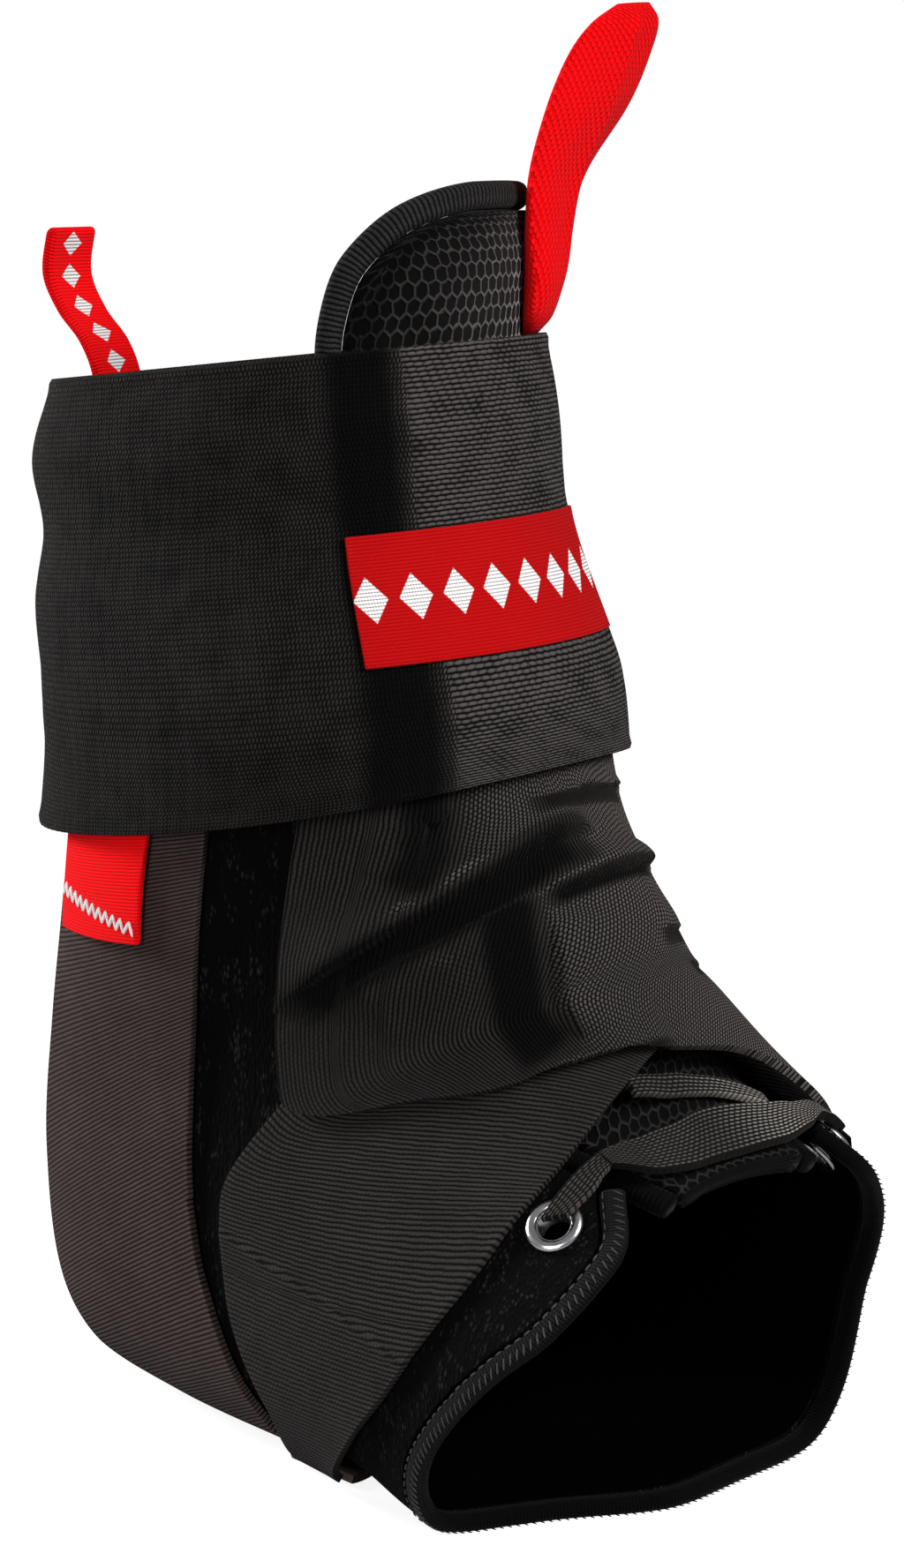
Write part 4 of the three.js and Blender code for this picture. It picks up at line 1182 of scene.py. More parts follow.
def lining_material(name, colour):
    """Smooth black lining with a faint close knit."""
    shader = Shader(name)
    across, along = shader.cloth_place()
    knit = wave(across, 0.8) * wave(along, 0.8)
    tint = shader.blend(knit, tuple(part * 0.4 for part in colour), tuple(colour))
    return shader.finish(tint, 0.98 - knit * 0.04, shader.bump(knit, 0.05 * MM), specular=0.0)


def thread_material(name, colour):
    """Twisted thread."""
    shader = Shader(name)
    place = shader.object_place()
    twist = shader.noise(place, 3200, 1.0)
    tint = shader.blend(twist, tuple(part * 0.6 for part in colour), tuple(colour))
    return shader.finish(tint, 0.75 - twist * 0.1, shader.bump(twist, 0.08 * MM), sheen=0.2)


def metal_material(name, colour):
    """Polished plated metal, a little worn and smeared."""
    shader = Shader(name)
    place = shader.object_place()
    smear = shader.noise(place, 350, 4.0)
    scratch = shader.noise(place, 2400, 2.0)
    tint = shader.blend(smear, tuple(part * 0.75 for part in colour), tuple(colour))
    normal = shader.bump(scratch, 0.012 * MM)
    return shader.finish(tint, smear * 0.22 + 0.1, normal, metallic=1.0)


def floor_material(name, colour):
    """Pale matt floor with a faint grain, glowing white away from the brace."""
    shader = Shader(name)
    place = shader.object_place()
    grain = shader.noise(place, 60, 3.0)
    distance = shader.node("ShaderNodeVectorMath", {"operation": "LENGTH"}, {0: place}, output=1)
    away = shader.rise(distance, 0.2, 0.6)
    dull = tuple(part * 0.97 for part in colour)
    tint = shader.blend(away, shader.blend(grain, dull, tuple(colour)), BLACK)
    seen = shader.node("ShaderNodeLightPath")
    glow = shader.blend(seen, BLACK, shader.blend(away, FLOOR_GLOW, FLOOR_GLOW_AWAY))
    return shader.finish(tint, 0.9 - grain * 0.05, specular=0.0, glow=glow)


def length_property(name, description, millimetres):
    """A length that a user can change."""
    return bpy.props.FloatProperty(
        name=name, description=description, default=millimetres * MM, unit="LENGTH"
    )


class BraceSizes(bpy.types.PropertyGroup):
    """Weave, thread and padding sizes."""

    rib_pitch: length_property("Rib pitch", "Distance between the ribs of the straps", 0.95)
    elastic_pitch: length_property("Elastic pitch", "Distance between rows of the elastic", 0.85)
    knit_pitch: length_property("Knit pitch", "Distance between rows of the knitted cuff", 0.9)
    cell_width: length_property("Cell width", "Width of the tongue mesh's cells", 2.3)
    cell_length: length_property("Cell length", "Length of the tongue mesh's cells", 3.7)
    relief: length_property("Relief", "Height of the ribs over the ground", 0.32)
    stitch_length: length_property("Stitch length", "Length of a sewn stitch", 2.1)
    stitch_pitch: length_property("Stitch pitch", "Distance from stitch to stitch", 2.8)
    thread_radius: length_property("Thread radius", "Half the thickness of the thread", 0.2)
    pad_pressure: bpy.props.FloatProperty(
        name="Pad pressure", description="Pressure that swells the padded pieces", default=4.0
    )


def colour_property(name, description, red, green, blue):
    """A colour that a user can change."""
    return bpy.props.FloatVectorProperty(
        name=name, description=description, subtype="COLOR", default=srgb(red, green, blue)
    )


class BraceColours(bpy.types.PropertyGroup):
    """Colours of the brace's materials."""

    pile: colour_property("Pile", "Loop pile of the body", 4, 4, 4)
    lining: colour_property("Lining", "Inside of the body", 4, 4, 4)
    wrap: colour_property("Wrap", "Ankle wrap", 21, 19, 18)
    cross: colour_property("Cross strap", "Cross strap", 27, 25, 24)
    heel: colour_property("Heel straps", "Heel straps", 45, 36, 35)
    cuff: colour_property("Cuff", "Knitted cuff", 22, 20, 19)
    elastic: colour_property("Elastic", "Instep elastic and laces", 44, 42, 40)
    binding: colour_property("Binding", "Binding of the toe edge", 9, 9, 10)
    tongue: colour_property("Tongue", "Open mesh of the tongue", 62, 59, 58)
    tongue_edge: colour_property("Tongue edge", "Binding of the tongue", 22, 21, 21)
    red: colour_property("Red", "Red webbing and mesh", 232, 0, 7)
    label: colour_property("Label", "Red of the label", 162, 0, 3)
    thread: colour_property("Dark thread", "Stitches on the dark pieces", 34, 34, 38)
    white_thread: colour_property("White thread", "Zigzag of the side tag", 244, 240, 240)
    metal: colour_property("Metal", "Eyelets", 225, 225, 228)


def power_property(name, description, watts):
    """A light's power that a user can change."""
    return bpy.props.FloatProperty(name=name, description=description, default=watts, unit="POWER")


def angle_property(name, description, degrees):
    """An angle that a user can change."""
    return bpy.props.FloatProperty(
        name=name, description=description, default=math.radians(degrees), unit="ROTATION"
    )


class StageLook(bpy.types.PropertyGroup):
    """Camera, lights and floor."""

    azimuth: angle_property("Azimuth", "Where the camera stands round the brace", 46.5)
    elevation: angle_property("Elevation", "How far the camera looks down", 12.5)
    distance: length_property("Distance", "From the camera to its target", 680)
    target: bpy.props.FloatVectorProperty(
        name="Target",
        description="What the camera looks at",
        default=(0.014175, -0.000785, 0.122),
        unit="LENGTH",
    )
    lens: bpy.props.FloatProperty(name="Lens", description="Focal length in millimetres", default=88.44)
    floor: colour_property("Floor", "Floor under the brace", 150, 150, 150)
    key: power_property("Key light", "Power of the key light", 12.0)
    fill: power_property("Fill light", "Power of the fill light", 6.5)
    rear: power_property("Rear light", "Power of the rear light", 15.0)
    world: bpy.props.FloatProperty(
        name="World", description="How strongly the surroundings light the brace", default=0.2
    )


def settings(context):
    """The colours and sizes that a user can change."""
    return context.scene.brace_colours, context.scene.brace_sizes


def direction(azimuth, elevation):
    """The way from the brace to a camera or light, with angles in radians."""
    level = math.cos(elevation)
    return Vector((math.sin(azimuth) * level, -math.cos(azimuth) * level, math.sin(elevation)))


def band(name, strap, steps, material, rim=0.45 * MM, shade=None, fanned=False):
    """Replaces a strap's node by a grid of steps over its band, with a wall and a rounded rim."""

    def outward(u, v):
        return form_normal(*strap.place(u, v))

    # Light and shade painted on the band, from its place on the form
    def painted_tone(u, v):
        return shade(*strap.place(u, v)) if shade else np.zeros(len(u))

    bm, size = lattice_mesh(*steps, strap.point, outward=outward, shade=painted_tone, fanned=fanned)
    piece = show(name + "_cloth", bm, material, [name])
    add_wall(piece, strap.wall, rim)
    return piece, size


def declare(size):
    """Works out a piece's width, no less than NARROWEST_CUT, its length and, when it is narrower, its
    area, and keeps none of them.
    """
    width = max(size["width"], NARROWEST_CUT)
    length = size["length"]
    area = size["width"] * length if size["width"] < width else None


class BRACE_OT_body(bpy.types.Operator):
    """Body of loop pile cloth, open down the front, with holes for the eyelets"""

    bl_idname = "brace.body"
    bl_label = "Body"

    def execute(self, context):
        colours, _ = settings(context)
        top = leg_place(CUFF_TOP_HEIGHT - BODY_TOP_DROP)

        def place(u, v):
            toe_at, toe_turn = body_toe_edge(v)
            top_turn = mix(BODY_GAP_OUTER, 360 + BODY_GAP_INNER, v)
            return mix(top, toe_at, u), mix(top_turn, toe_turn, u)

        def point(u, v):
            return layer_point(*place(u, v), BODY_WALL)

        bm, size = lattice_mesh(150, 170, point, outward=lambda u, v: form_normal(*place(u, v)))
        hole = EYELET_BORE / 2 + EYELET_HOLE_MARGIN
        for turn in (EYELET_TURN, -EYELET_TURN):
            centre = Vector(layer_point(EYELET_AT, turn, BODY_WALL))
            cut = [face for face in bm.faces if (face.calc_center_median() - centre).length < hole]
            bmesh.ops.delete(bm, geom=cut, context="FACES")
            for vertex in bm.verts:
                away = vertex.co - centre
                if vertex.is_boundary and away.length < hole * 1.6:
                    vertex.co = centre + away.normalized() * hole
        material = pile_material("loop_pile", colours.pile)
        piece = show("body_cloth", bm, material, ["brace_body"])
        piece.data.materials.append(lining_material("lining", colours.lining))
        add_wall(piece, BODY_WALL, 0.5 * MM)
        piece.modifiers["wall"].material_offset = 1
        declare(size)
        return {"FINISHED"}


class BRACE_OT_toe_binding(bpy.types.Operator):
    """Rolled tape round the toe edge, with whip stitches and an inner seam"""

    bl_idname = "brace.toe_binding"
    bl_label = "Toe binding"

    def execute(self, context):
        colours, sizes = settings(context)
        low = BODY_WALL - BINDING_WALL + BINDING_RISE
        high = BODY_WALL + BINDING_RISE

        def point(u, v, side):
            outer_at, outer_turn = toe_edge(u)
            inner_at, inner_turn = toe_binding_edge(u)
            depth = mix(low, high, side)
            return layer_point(mix(inner_at, outer_at, v), mix(inner_turn, outer_turn, v), depth)

        # Painted shade: the binding blackened on the rim and underside of its free edge, and along its
        # second half towards the inner flap
        def shade(u, v, side):
            return -smooth(0.55, 0.85, v) * smooth(0.9, 0.5, side) - smooth(0.4, 0.5, u) * 0.8

        bm, size = tube_mesh(330, stadium(5, 0.36, 8), point, shade)
        material = cloth_material("binding", colours.binding, webbing_weave, sizes, 0.2 * MM)
        piece = show("toe_binding_tape", bm, material, ["toe_binding"])
        thread = thread_material("dark_thread", colours.thread)

        def inset(share):
            def line(t):
                outer_at, outer_turn = toe_edge(t)
                inner_at, inner_turn = toe_binding_edge(t)
                return mix(outer_at, inner_at, share), mix(outer_turn, inner_turn, share)

            return line

        sunk = high - STITCH_SINK
        whip = (WHIP_LENGTH, WHIP_PITCH, WHIP_RADIUS, WHIP_TILT)
        whips = stitch_line("toe_whip_stitches", inset(0.3), sunk, thread, *whip)
        small = (sizes.stitch_length * 0.7, sizes.stitch_pitch * 0.75, sizes.thread_radius * 0.8)
        seam = stitch_line("toe_seam_stitches", inset(0.86), sunk, thread, *small)
        declare(size)
        return {"FINISHED"}


class BRACE_OT_tongue(bpy.types.Operator):
    """Padded tongue of open mesh, with its bound edge"""

    bl_idname = "brace.tongue"
    bl_label = "Tongue"

    def execute(self, context):
        colours, sizes = settings(context)
        low = -TONGUE_EASE - TONGUE_WALL
        high = -TONGUE_EASE
        bottom = TONGUE_SHAPE[-1][0]
        rise = np.linspace(0, 0.5, 500)
        outer_at, outer_turn = tongue_panel_edge(rise)
        inner_at, inner_turn = tongue_panel_edge(1 - rise)
        top = outer_at[-1] + 0.001

        def point(u, v, side):
            at = mix(top, bottom, u**1.25)
            outer = np.interp(at, outer_at[::-1], outer_turn[::-1])
            inner = np.interp(at, inner_at[::-1], inner_turn[::-1])
            turn = mix(outer, inner, v)
            return layer_point(at, turn, mix(low, high, side) + tongue_lean(at, turn))

        # Painted light and shade: darker on the outer side, lighter on the inner, darker near both edges
        # and painted dark over the lower part
        def shade(u, v, side):
            above = mix(-0.7, 0.4, smooth(0.12, 0.5, v)) - 0.6 * smooth(0.1, 0, np.minimum(v, 1 - v))
            return mix(above, -0.8, smooth(0.5, 0.6, u))

        bm, _ = tube_mesh(110, stadium(36, 0.03, 6), point, shade)
        material = cloth_material("air_mesh", colours.tongue, mesh_weave, sizes, 0.6 * MM, gap_shade=0.03)
        panel = show("tongue_pad", bm, material, ["tongue"])
        rim_at, rim_turn = tongue_panel_edge(np.linspace(0, 1, 400))
        rim = layer_point(rim_at, rim_turn, (low + high) / 2 + tongue_lean(rim_at, rim_turn))
        to_rim = np.linalg.norm(mesh_points(panel.data)[:, None] - rim, axis=2).min(axis=1)
        inflate(panel, sizes.pad_pressure, 0.6 * MM * smooth(3 * MM, 8 * MM, to_rim))

        def edge_point(u, v, side):
            edge_at, edge_turn = tongue_edge(u)
            inset_at, inset_turn = tongue_inner_edge(u)
            at = mix(inset_at, edge_at, v)
            turn = mix(inset_turn, edge_turn, v)
            return layer_point(at, turn, mix(low, high, side) + tongue_lean(at, turn))

        # Painted shade: the binding blackened towards both its ends
        def edge_painted_shading(u, v, side):
            return -smooth(0.22, 0.1, np.minimum(u, 1 - u))

        bm, size = tube_mesh(420, stadium(6, 0.34, 8), edge_point, edge_painted_shading)
        edge_material = cloth_material("tongue_edge", colours.tongue_edge, rib_weave, sizes, 0.2 * MM)
        binding = show("tongue_binding_tape", bm, edge_material, ["tongue_binding"])
        declare(size)
        return {"FINISHED"}


class BRACE_OT_tongue_tab(bpy.types.Operator):
    """Padded red leaf on the tongue's top, ridged down its middle"""

    bl_idname = "brace.tongue_tab"
    bl_label = "Tongue tab"

    def execute(self, context):
        colours, sizes = settings(context)
        out, width, thick, twist = column_curves(TONGUE_TAB_SHAPE)
        foot = form_point(TONGUE_TAB_FOOT, TONGUE_TAB_TURN)
        normal = form_normal(TONGUE_TAB_FOOT, TONGUE_TAB_TURN)
        down, around = form_slopes(TONGUE_TAB_FOOT, TONGUE_TAB_TURN)
        up = -unit(down)
        beside = unit(around)
        lean = tongue_lean(TONGUE_TAB_FOOT, TONGUE_TAB_TURN)
        half_wide = TONGUE_TAB_WIDTH / 2
        half_thick = TONGUE_TAB_THICKNESS / 2

        def point(u, w):
            angle = 2 * math.pi * w
            seat = ON_TONGUE + thick(u) * half_thick
            wide = np.cos(angle) * width(u) * half_wide
            through = np.sin(angle) * thick(u) * half_thick
            ridge = np.exp(-(((np.cos(angle) + 0.12) / 0.16) ** 2)) * (np.sin(angle) > 0)
            through = through + ridge * smooth(0.05, 0.3, u) * smooth(1, 0.9, u) * TAB_RIDGE
            turned = np.radians(twist(u))[..., None]
            sideways = beside * np.cos(turned) - normal * np.sin(turned)
            outwards = normal * np.cos(turned) + beside * np.sin(turned)
            centre = foot + up * (u * TONGUE_TAB_LENGTH)[..., None]
            centre = centre + normal * (out(u) * TONGUE_TAB_LENGTH + seat + lean)[..., None]
            return centre + sideways * wide[..., None] + outwards * through[..., None]

        bm, _ = lattice_mesh(60, 56, point, looped=True)
        close_ends(bm)
        material = cloth_material(
            "red_mesh", colours.red, fine_mesh_weave, sizes, 0.3 * MM, gap_shade=0.75, light=1.1
        )
        piece = show("tongue_pull_tab_leaf", bm, material, ["tongue_pull_tab"])
        inflate(piece, sizes.pad_pressure, 0.8 * MM)
        return {"FINISHED"}


class BRACE_OT_rear_tab(bpy.types.Operator):
    """Folded red webbing behind the leg, with a plain chain of lozenges"""

    bl_idname = "brace.rear_tab"
    bl_label = "Rear tab"

    def execute(self, context):
        colours, sizes = settings(context)
        (lean,) = column_curves(REAR_TAB_SHAPE)
        root_at = leg_place(CUFF_TOP_HEIGHT - REAR_TAB_LENGTH * REAR_TAB_SHAPE[1][0])
        down, around = form_slopes(root_at, REAR_TAB_TURN)
        root = form_point(root_at, REAR_TAB_TURN)
        normal = form_normal(root_at, REAR_TAB_TURN)
        up = -unit(down)
        beside = unit(around)
        bend = (REAR_TAB_WIDTH / 2) ** 2 / LEG_DEPTH
        fold = REAR_TAB_THICKNESS / 2
        straight = REAR_TAB_LENGTH - fold
        path = 2 * straight + math.pi * fold

        def point(u, v):
            distance = u * path
            swing = np.clip((distance - straight) / fold, 0, math.pi)
            rise = np.where(distance < straight, distance, straight + fold * np.sin(swing))
            rise = np.where(distance > path - straight, path - distance, rise)
            across = 2 * v - 1
            reach = lean(rise / REAR_TAB_LENGTH) * REAR_TAB_LENGTH - CLEARANCE - fold
            reach = reach - bend * across**2 + fold * np.cos(swing)
            start = root + up * rise[..., None] + beside * (across * REAR_TAB_WIDTH / 2)[..., None]
            return start + normal * reach[..., None]

        bm, size = lattice_mesh(150, 26, point)
        bmesh.ops.recalc_face_normals(bm, faces=bm.faces)
        bm.normal_update()
        bm.faces.ensure_lookup_table()
        inner_ply = Vector(point(np.array(0.1), np.array(0.5)))
        lowest = min(bm.faces, key=lambda face: (face.calc_center_median() - inner_ply).length)
        if lowest.normal.dot(Vector(normal)) < 0:
            bmesh.ops.reverse_faces(bm, faces=bm.faces)

        def chain(shader, across, along):
            return lozenge_chain(shader, across, along, 7.5, 6.0)

        material = cloth_material(
            "red_webbing", colours.red, webbing_weave, sizes, 0.2 * MM, gap_shade=0.7, light=1.1, pattern=chain
        )
        piece = show("rear_pull_tab_webbing", bm, material, ["rear_pull_tab"])
        add_wall(piece, REAR_TAB_PLY, 0.3 * MM)
        declare(size)
        return {"FINISHED"}


class BRACE_OT_cuff(bpy.types.Operator):
    """Knitted upper cuff with its label"""

    bl_idname = "brace.cuff"
    bl_label = "Cuff and label"

    def execute(self, context):
        colours, sizes = settings(context)

        def place(u, v):
            return mix(CUFF_TOP, CUFF_BOTTOM, u), 360 * v

        def point(u, v):
            at, turn = place(u, v)
            wrapped = (turn + 180) % 360 - 180
            step = smooth(CUFF_STEP_TURN + 1.5, CUFF_STEP_TURN - 1.5, wrapped) * smooth(-50, -40, wrapped)
            down = u * CUFF_HEIGHT
            hem = np.exp(-((np.minimum(down, CUFF_HEIGHT - down) / CUFF_HEM - 0.5) ** 2) * 9)
            crimp = np.sin(turn * 1.9 + 3 * np.sin(down / (9 * MM)))
            relief = step * CUFF_STEP_RISE + hem * CUFF_HEM_RISE + crimp * CUFF_CRIMP
            return layer_point(at, turn, cuff_depth(at, turn) + CUFF_WALL + relief)

        def outward(u, v):
            return form_normal(*place(u, v))

        # Painted light on the front, in from the step, and behind; a painted shadow down the cuff just
        # outside the step
        def shade(u, v):
            turn = (360 * v + 180) % 360 - 180
            front = smooth(CUFF_STEP_TURN + 1, CUFF_STEP_TURN - 2, turn) * smooth(-62, -50, turn)
            column = np.exp(-(((turn - CUFF_STEP_TURN - 7) / 8) ** 4))
            rear = smooth(95, 135, np.abs(turn))
            return front * 0.5 + rear * 0.3 - column

        bm, size = lattice_mesh(84, 290, point, looped=True, outward=outward, shade=shade)
        material = cloth_material("cuff_elastic", colours.cuff, knit_weave, sizes, sizes.relief)
        cuff = show("upper_cuff_knit", bm, material, ["upper_cuff"])
        add_wall(cuff, CUFF_WALL, 0.5 * MM)

        label_top = leg_place(LABEL_HEIGHT_ON_LEG)
        label_bottom = leg_place(LABEL_HEIGHT_ON_LEG - LABEL_HEIGHT)
        _, around = form_slopes((label_top + label_bottom) / 2, 0)
        per_degree = np.linalg.norm(around) * (1 + 2 * (UNDER + CUFF_WALL) / LEG_DEPTH)
        sweep = LABEL_WIDTH / per_degree

        def label_place(u, v):
            return mix(label_top, label_bottom, u), LABEL_TURN - sweep * v

        def label_point(u, v):
            at, turn = label_place(u, v)
            return layer_point(at, turn, cuff_depth(at, turn) + CUFF_WALL + CLEARANCE + LABEL_WALL)

        bm, size = lattice_mesh(24, 62, label_point, outward=lambda u, v: form_normal(*label_place(u, v)))

        def chain(shader, across, along):
            return lozenge_chain(shader, along, across, 9.0, 8.0, middle=LABEL_HEIGHT / MM / 2)

        label_material = cloth_material(
            "label", colours.label, webbing_weave, sizes, 0.12 * MM, gap_shade=0.8, light=1.1, pattern=chain
        )
        label = show("cuff_label_patch", bm, label_material, ["cuff_label"])
        add_wall(label, LABEL_WALL, 0.3 * MM)
        declare(size)
        return {"FINISHED"}


class BRACE_OT_heel_straps(bpy.types.Operator):
    """The two heel straps of ribbed webbing"""

    bl_idname = "brace.heel_straps"
    bl_label = "Heel straps"

    def execute(self, context):
        colours, sizes = settings(context)
        material = cloth_material("heel_webbing", colours.heel, grosgrain_weave, sizes, sizes.relief)
        outer = Strap(HEEL_STRAP, OUTER_STRAP_LEVELS)
        inner = Strap(HEEL_STRAP, INNER_STRAP_LEVELS, mirrored=True)
        for name, strap in (("outer_heel_strap", outer), ("inner_heel_strap", inner)):
            piece, size = band(name, strap, (260, 44), material)
            declare(size)
        return {"FINISHED"}


class BRACE_OT_cross_strap(bpy.types.Operator):
    """The cross strap over the outer side"""

    bl_idname = "brace.cross_strap"
    bl_label = "Cross strap"

    def execute(self, context):
        colours, sizes = settings(context)
        material = cloth_material("strap_twill", colours.cross, rib_weave, sizes, sizes.relief)
        piece, size = band("cross_strap", Strap(CROSS_STRAP), (190, 60), material)
        declare(size)
        return {"FINISHED"}


class BRACE_OT_ankle_wrap(bpy.types.Operator):
    """The folded ankle wrap over the instep"""

    bl_idname = "brace.ankle_wrap"
    bl_label = "Ankle wrap"

    def execute(self, context):
        colours, sizes = settings(context)
        material = cloth_material("wrap_twill", colours.wrap, rib_weave, sizes, sizes.relief)
        strap = Strap(ANKLE_WRAP, lift=wrap_lift)
        piece, size = band("ankle_wrap", strap, (290, 120), material, shade=wrap_painted_shading)
        declare(size)
        return {"FINISHED"}


class BRACE_OT_side_tag(bpy.types.Operator):
    """Red side tag with a white zigzag"""

    bl_idname = "brace.side_tag"
    bl_label = "Side tag"

    def execute(self, context):
        colours, sizes = settings(context)
        strap = Strap(SIDE_TAG, wall=TAG_WALL)
        material = cloth_material(
            "tag_webbing", colours.red, webbing_weave, sizes, 0.2 * MM, gap_shade=0.8, light=1.1
        )
        tag, size = band("side_tag", strap, (30, 22), material, rim=0.35 * MM)
        bm = bmesh.new()
        for i in range(ZIGZAGS):
            swing = ZIGZAG_SWING if i % 2 else -ZIGZAG_SWING
            points = []
            for turning, side in ((i, -swing), (i + 1, swing)):
                v = ZIGZAG_MARGIN + (1 - 2 * ZIGZAG_MARGIN) * turning / ZIGZAGS
                u = mix(0.78, 0.93, v) + side
                at, turn = strap.place(u, v)
                points.append(layer_point(at, turn, strap.depth(u, v) + 0.1 * MM))
            add_stitch(bm, *points, form_normal(at, turn), ZIGZAG_RADIUS)
        thread = thread_material("white_thread", colours.white_thread)
        zigzag = show("side_tag_zigzag", bm, thread)
        declare(size)
        return {"FINISHED"}


class BRACE_OT_elastics(bpy.types.Operator):
    """Flat elastic over the instep and the lace ends to the eyelets"""

    bl_idname = "brace.elastics"
    bl_label = "Elastics"

    def execute(self, context):
        colours, sizes = settings(context)
        material = cloth_material(
            "lace_elastic", colours.elastic, dash_weave, sizes, sizes.relief, gap_shade=0.05, light=4
        )

        # Painted light towards the inner side, where the key light falls, and painted shade on the outer
        # side
        def shade(at, turn):
            return smooth(12, -20, turn) * 0.55 - smooth(20, 30, turn) * 0.3

        bands = [
            ("instep_elastic", INSTEP_ELASTIC, (90, 26), False),
            ("instep_elastic_upper", INSTEP_ELASTIC_UPPER, (50, 12), False),
            ("outer_lace_end", OUTER_LACE_END, (28, 12), False),
            ("inner_lace_end", INNER_LACE_END, (28, 12), True),
        ]
        for name, rows, steps, mirrored in bands:
            strap = Strap(rows, mirrored=mirrored, wall=LACE_WALL)
            piece, size = band(
                name, strap, steps, material, rim=0.5 * MM, shade=shade, fanned=True
            )
            declare(size)
        return {"FINISHED"}


class BRACE_OT_eyelets(bpy.types.Operator):
    """The two plated eyelets, each spun round its own axis"""

    bl_idname = "brace.eyelets"
    bl_label = "Eyelets"

    def execute(self, context):
        colours, _ = settings(context)
        material = metal_material("eyelet_metal", colours.metal)
        bore = EYELET_BORE / 2
        flange = EYELET_FLANGE / 2
        inside = -EYELET_INNER_GAP
        outside = BODY_WALL + CLEARANCE
        middle = (bore + flange) / 2
        profile = [(EYELET_INNER_REACH, inside), (EYELET_INNER_REACH, inside - EYELET_SHEET)]
        profile += [(bore + 0.3 * MM, inside - EYELET_SHEET)]
        profile += [(bore, inside - 0.5 * MM), (bore, outside)]
        for angle in np.linspace(math.pi, 0, 12):
            radius = middle + (flange - middle) * math.cos(angle)
            profile.append((radius, outside + EYELET_SHEET * math.sin(angle)))
        profile += [(flange - 0.3 * MM, outside - 0.05 * MM), (bore + 0.5 * MM, outside - 0.05 * MM)]
        profile += [(bore + 0.5 * MM, inside)]
        for name, turn in (("outer_eyelet", EYELET_TURN), ("inner_eyelet", -EYELET_TURN)):
            bm = bmesh.new()
            vertices = [bm.verts.new((radius, 0, height)) for radius, height in profile]
            edges = [bm.edges.new(pair) for pair in zip(vertices, vertices[1:] + vertices[:1])]
            bmesh.ops.spin(
                bm,
                geom=vertices + edges,
                cent=(0, 0, 0),
                axis=(0, 0, 1),
                angle=2 * math.pi,
                steps=64,
                use_merge=True,
            )
            bmesh.ops.remove_doubles(bm, verts=bm.verts, dist=1e-7)
            bmesh.ops.recalc_face_normals(bm, faces=bm.faces)
            centre = Vector(form_point(EYELET_AT, turn))
            tilt = Vector(form_normal(EYELET_AT, turn)).to_track_quat("Z", "Y").to_matrix().to_4x4()
            bmesh.ops.transform(bm, matrix=Matrix.Translation(centre) @ tilt, verts=bm.verts)
            show(name + "_ring", bm, material, [name])
        return {"FINISHED"}


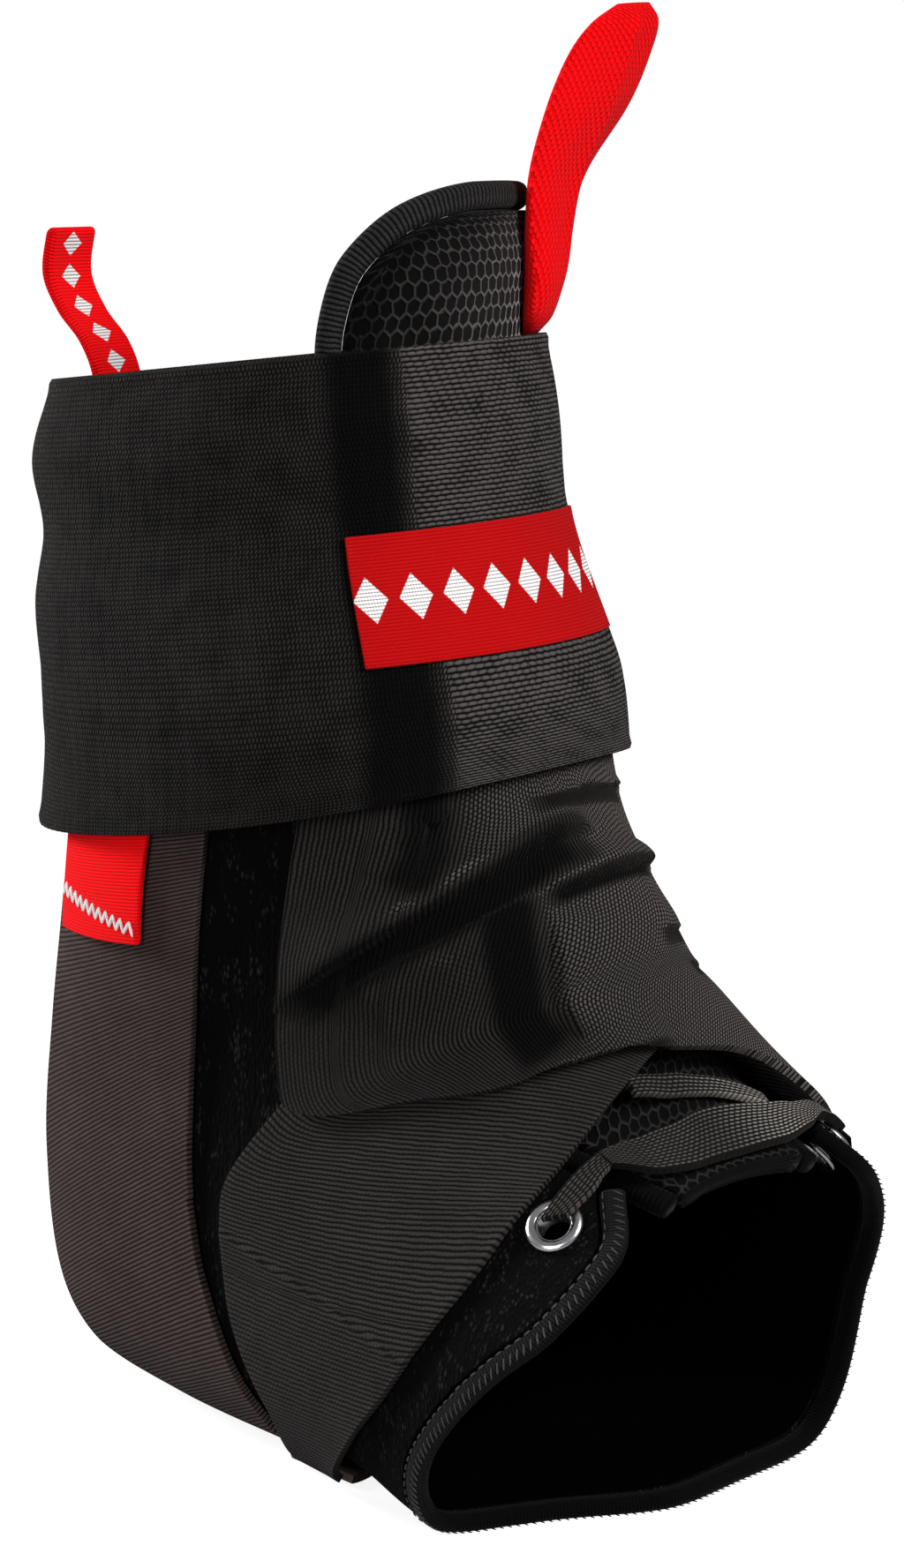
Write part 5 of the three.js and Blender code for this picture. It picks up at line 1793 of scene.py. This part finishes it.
class BRACE_OT_stage(bpy.types.Operator):
    """Camera, soft lights, white surroundings and a pale floor"""

    bl_idname = "brace.stage"
    bl_label = "Stage"

    def execute(self, context):
        scene = context.scene
        look = scene.brace_stage
        target = Vector(look.target)
        back = direction(look.azimuth, look.elevation)
        camera = bpy.data.objects.new("camera", bpy.data.cameras.new("camera"))
        camera.data.lens = look.lens
        camera.data.sensor_width = 36
        camera.location = target + back * look.distance
        camera.rotation_euler = (-back).to_track_quat("-Z", "Y").to_euler()
        scene.collection.objects.link(camera)
        scene.camera = camera

        for name, size, azimuth, elevation, distance in LIGHTS:
            light = bpy.data.lights.new(name + "_light", "AREA")
            light.energy = getattr(look, name)
            light.size = size
            lamp = bpy.data.objects.new(name + "_light", light)
            way = direction(math.radians(azimuth), math.radians(elevation))
            lamp.location = target + way * distance
            lamp.rotation_euler = (-way).to_track_quat("-Z", "Y").to_euler()
            scene.collection.objects.link(lamp)

        world = bpy.data.worlds.new("white_surroundings")
        world.use_nodes = True
        tree = world.node_tree
        background = tree.nodes["Background"]
        background.inputs["Color"].default_value = (1, 1, 1, 1)
        seen = tree.nodes.new("ShaderNodeLightPath")
        strength = tree.nodes.new("ShaderNodeMapRange")
        strength.inputs["To Min"].default_value = look.world
        tree.links.new(seen.outputs["Is Camera Ray"], strength.inputs["Value"])
        tree.links.new(strength.outputs["Result"], background.inputs["Strength"])
        scene.world = world
        scene.view_settings.view_transform = "Standard"

        bm = bmesh.new()
        bmesh.ops.create_grid(bm, x_segments=8, y_segments=8, size=FLOOR_HALF)
        mesh = bpy.data.meshes.new("floor")
        bm.to_mesh(mesh)
        bm.free()
        mesh.materials.append(floor_material("pale_floor", look.floor))
        floor = bpy.data.objects.new("floor", mesh)
        scene.collection.objects.link(floor)
        return {"FINISHED"}


class BRACE_PT_panel(bpy.types.Panel):
    """The brace's pieces, each with its own button"""

    bl_label = "Ankle Brace"
    bl_space_type = "VIEW_3D"
    bl_region_type = "UI"
    bl_category = "Ankle Brace"

    def draw(self, context):
        for operator in OPERATORS:
            self.layout.operator(operator.bl_idname)
        for name in GROUPS:
            group = getattr(context.scene, name)
            column = self.layout.column()
            for setting in group.__annotations__:
                column.prop(group, setting)


OPERATORS = [
    BRACE_OT_stage,
    BRACE_OT_body,
    BRACE_OT_toe_binding,
    BRACE_OT_tongue,
    BRACE_OT_tongue_tab,
    BRACE_OT_rear_tab,
    BRACE_OT_cuff,
    BRACE_OT_heel_straps,
    BRACE_OT_cross_strap,
    BRACE_OT_ankle_wrap,
    BRACE_OT_side_tag,
    BRACE_OT_elastics,
    BRACE_OT_eyelets,
]
GROUPS = {"brace_sizes": BraceSizes, "brace_colours": BraceColours, "brace_stage": StageLook}


def register():
    """Registers the classes and hangs the settings on the scene."""
    for cls in [*GROUPS.values(), *OPERATORS, BRACE_PT_panel]:
        bpy.utils.register_class(cls)
    for name, group in GROUPS.items():
        setattr(bpy.types.Scene, name, bpy.props.PointerProperty(type=group))


def unregister():
    """Takes the settings and classes away again."""
    for name in GROUPS:
        delattr(bpy.types.Scene, name)
    for cls in reversed([*GROUPS.values(), *OPERATORS, BRACE_PT_panel]):
        bpy.utils.unregister_class(cls)


def main():
    """Builds every piece."""
    register()
    for operator in OPERATORS:
        group, name = operator.bl_idname.split(".")
        getattr(getattr(bpy.ops, group), name)()


if __name__ == "__main__":
    main()
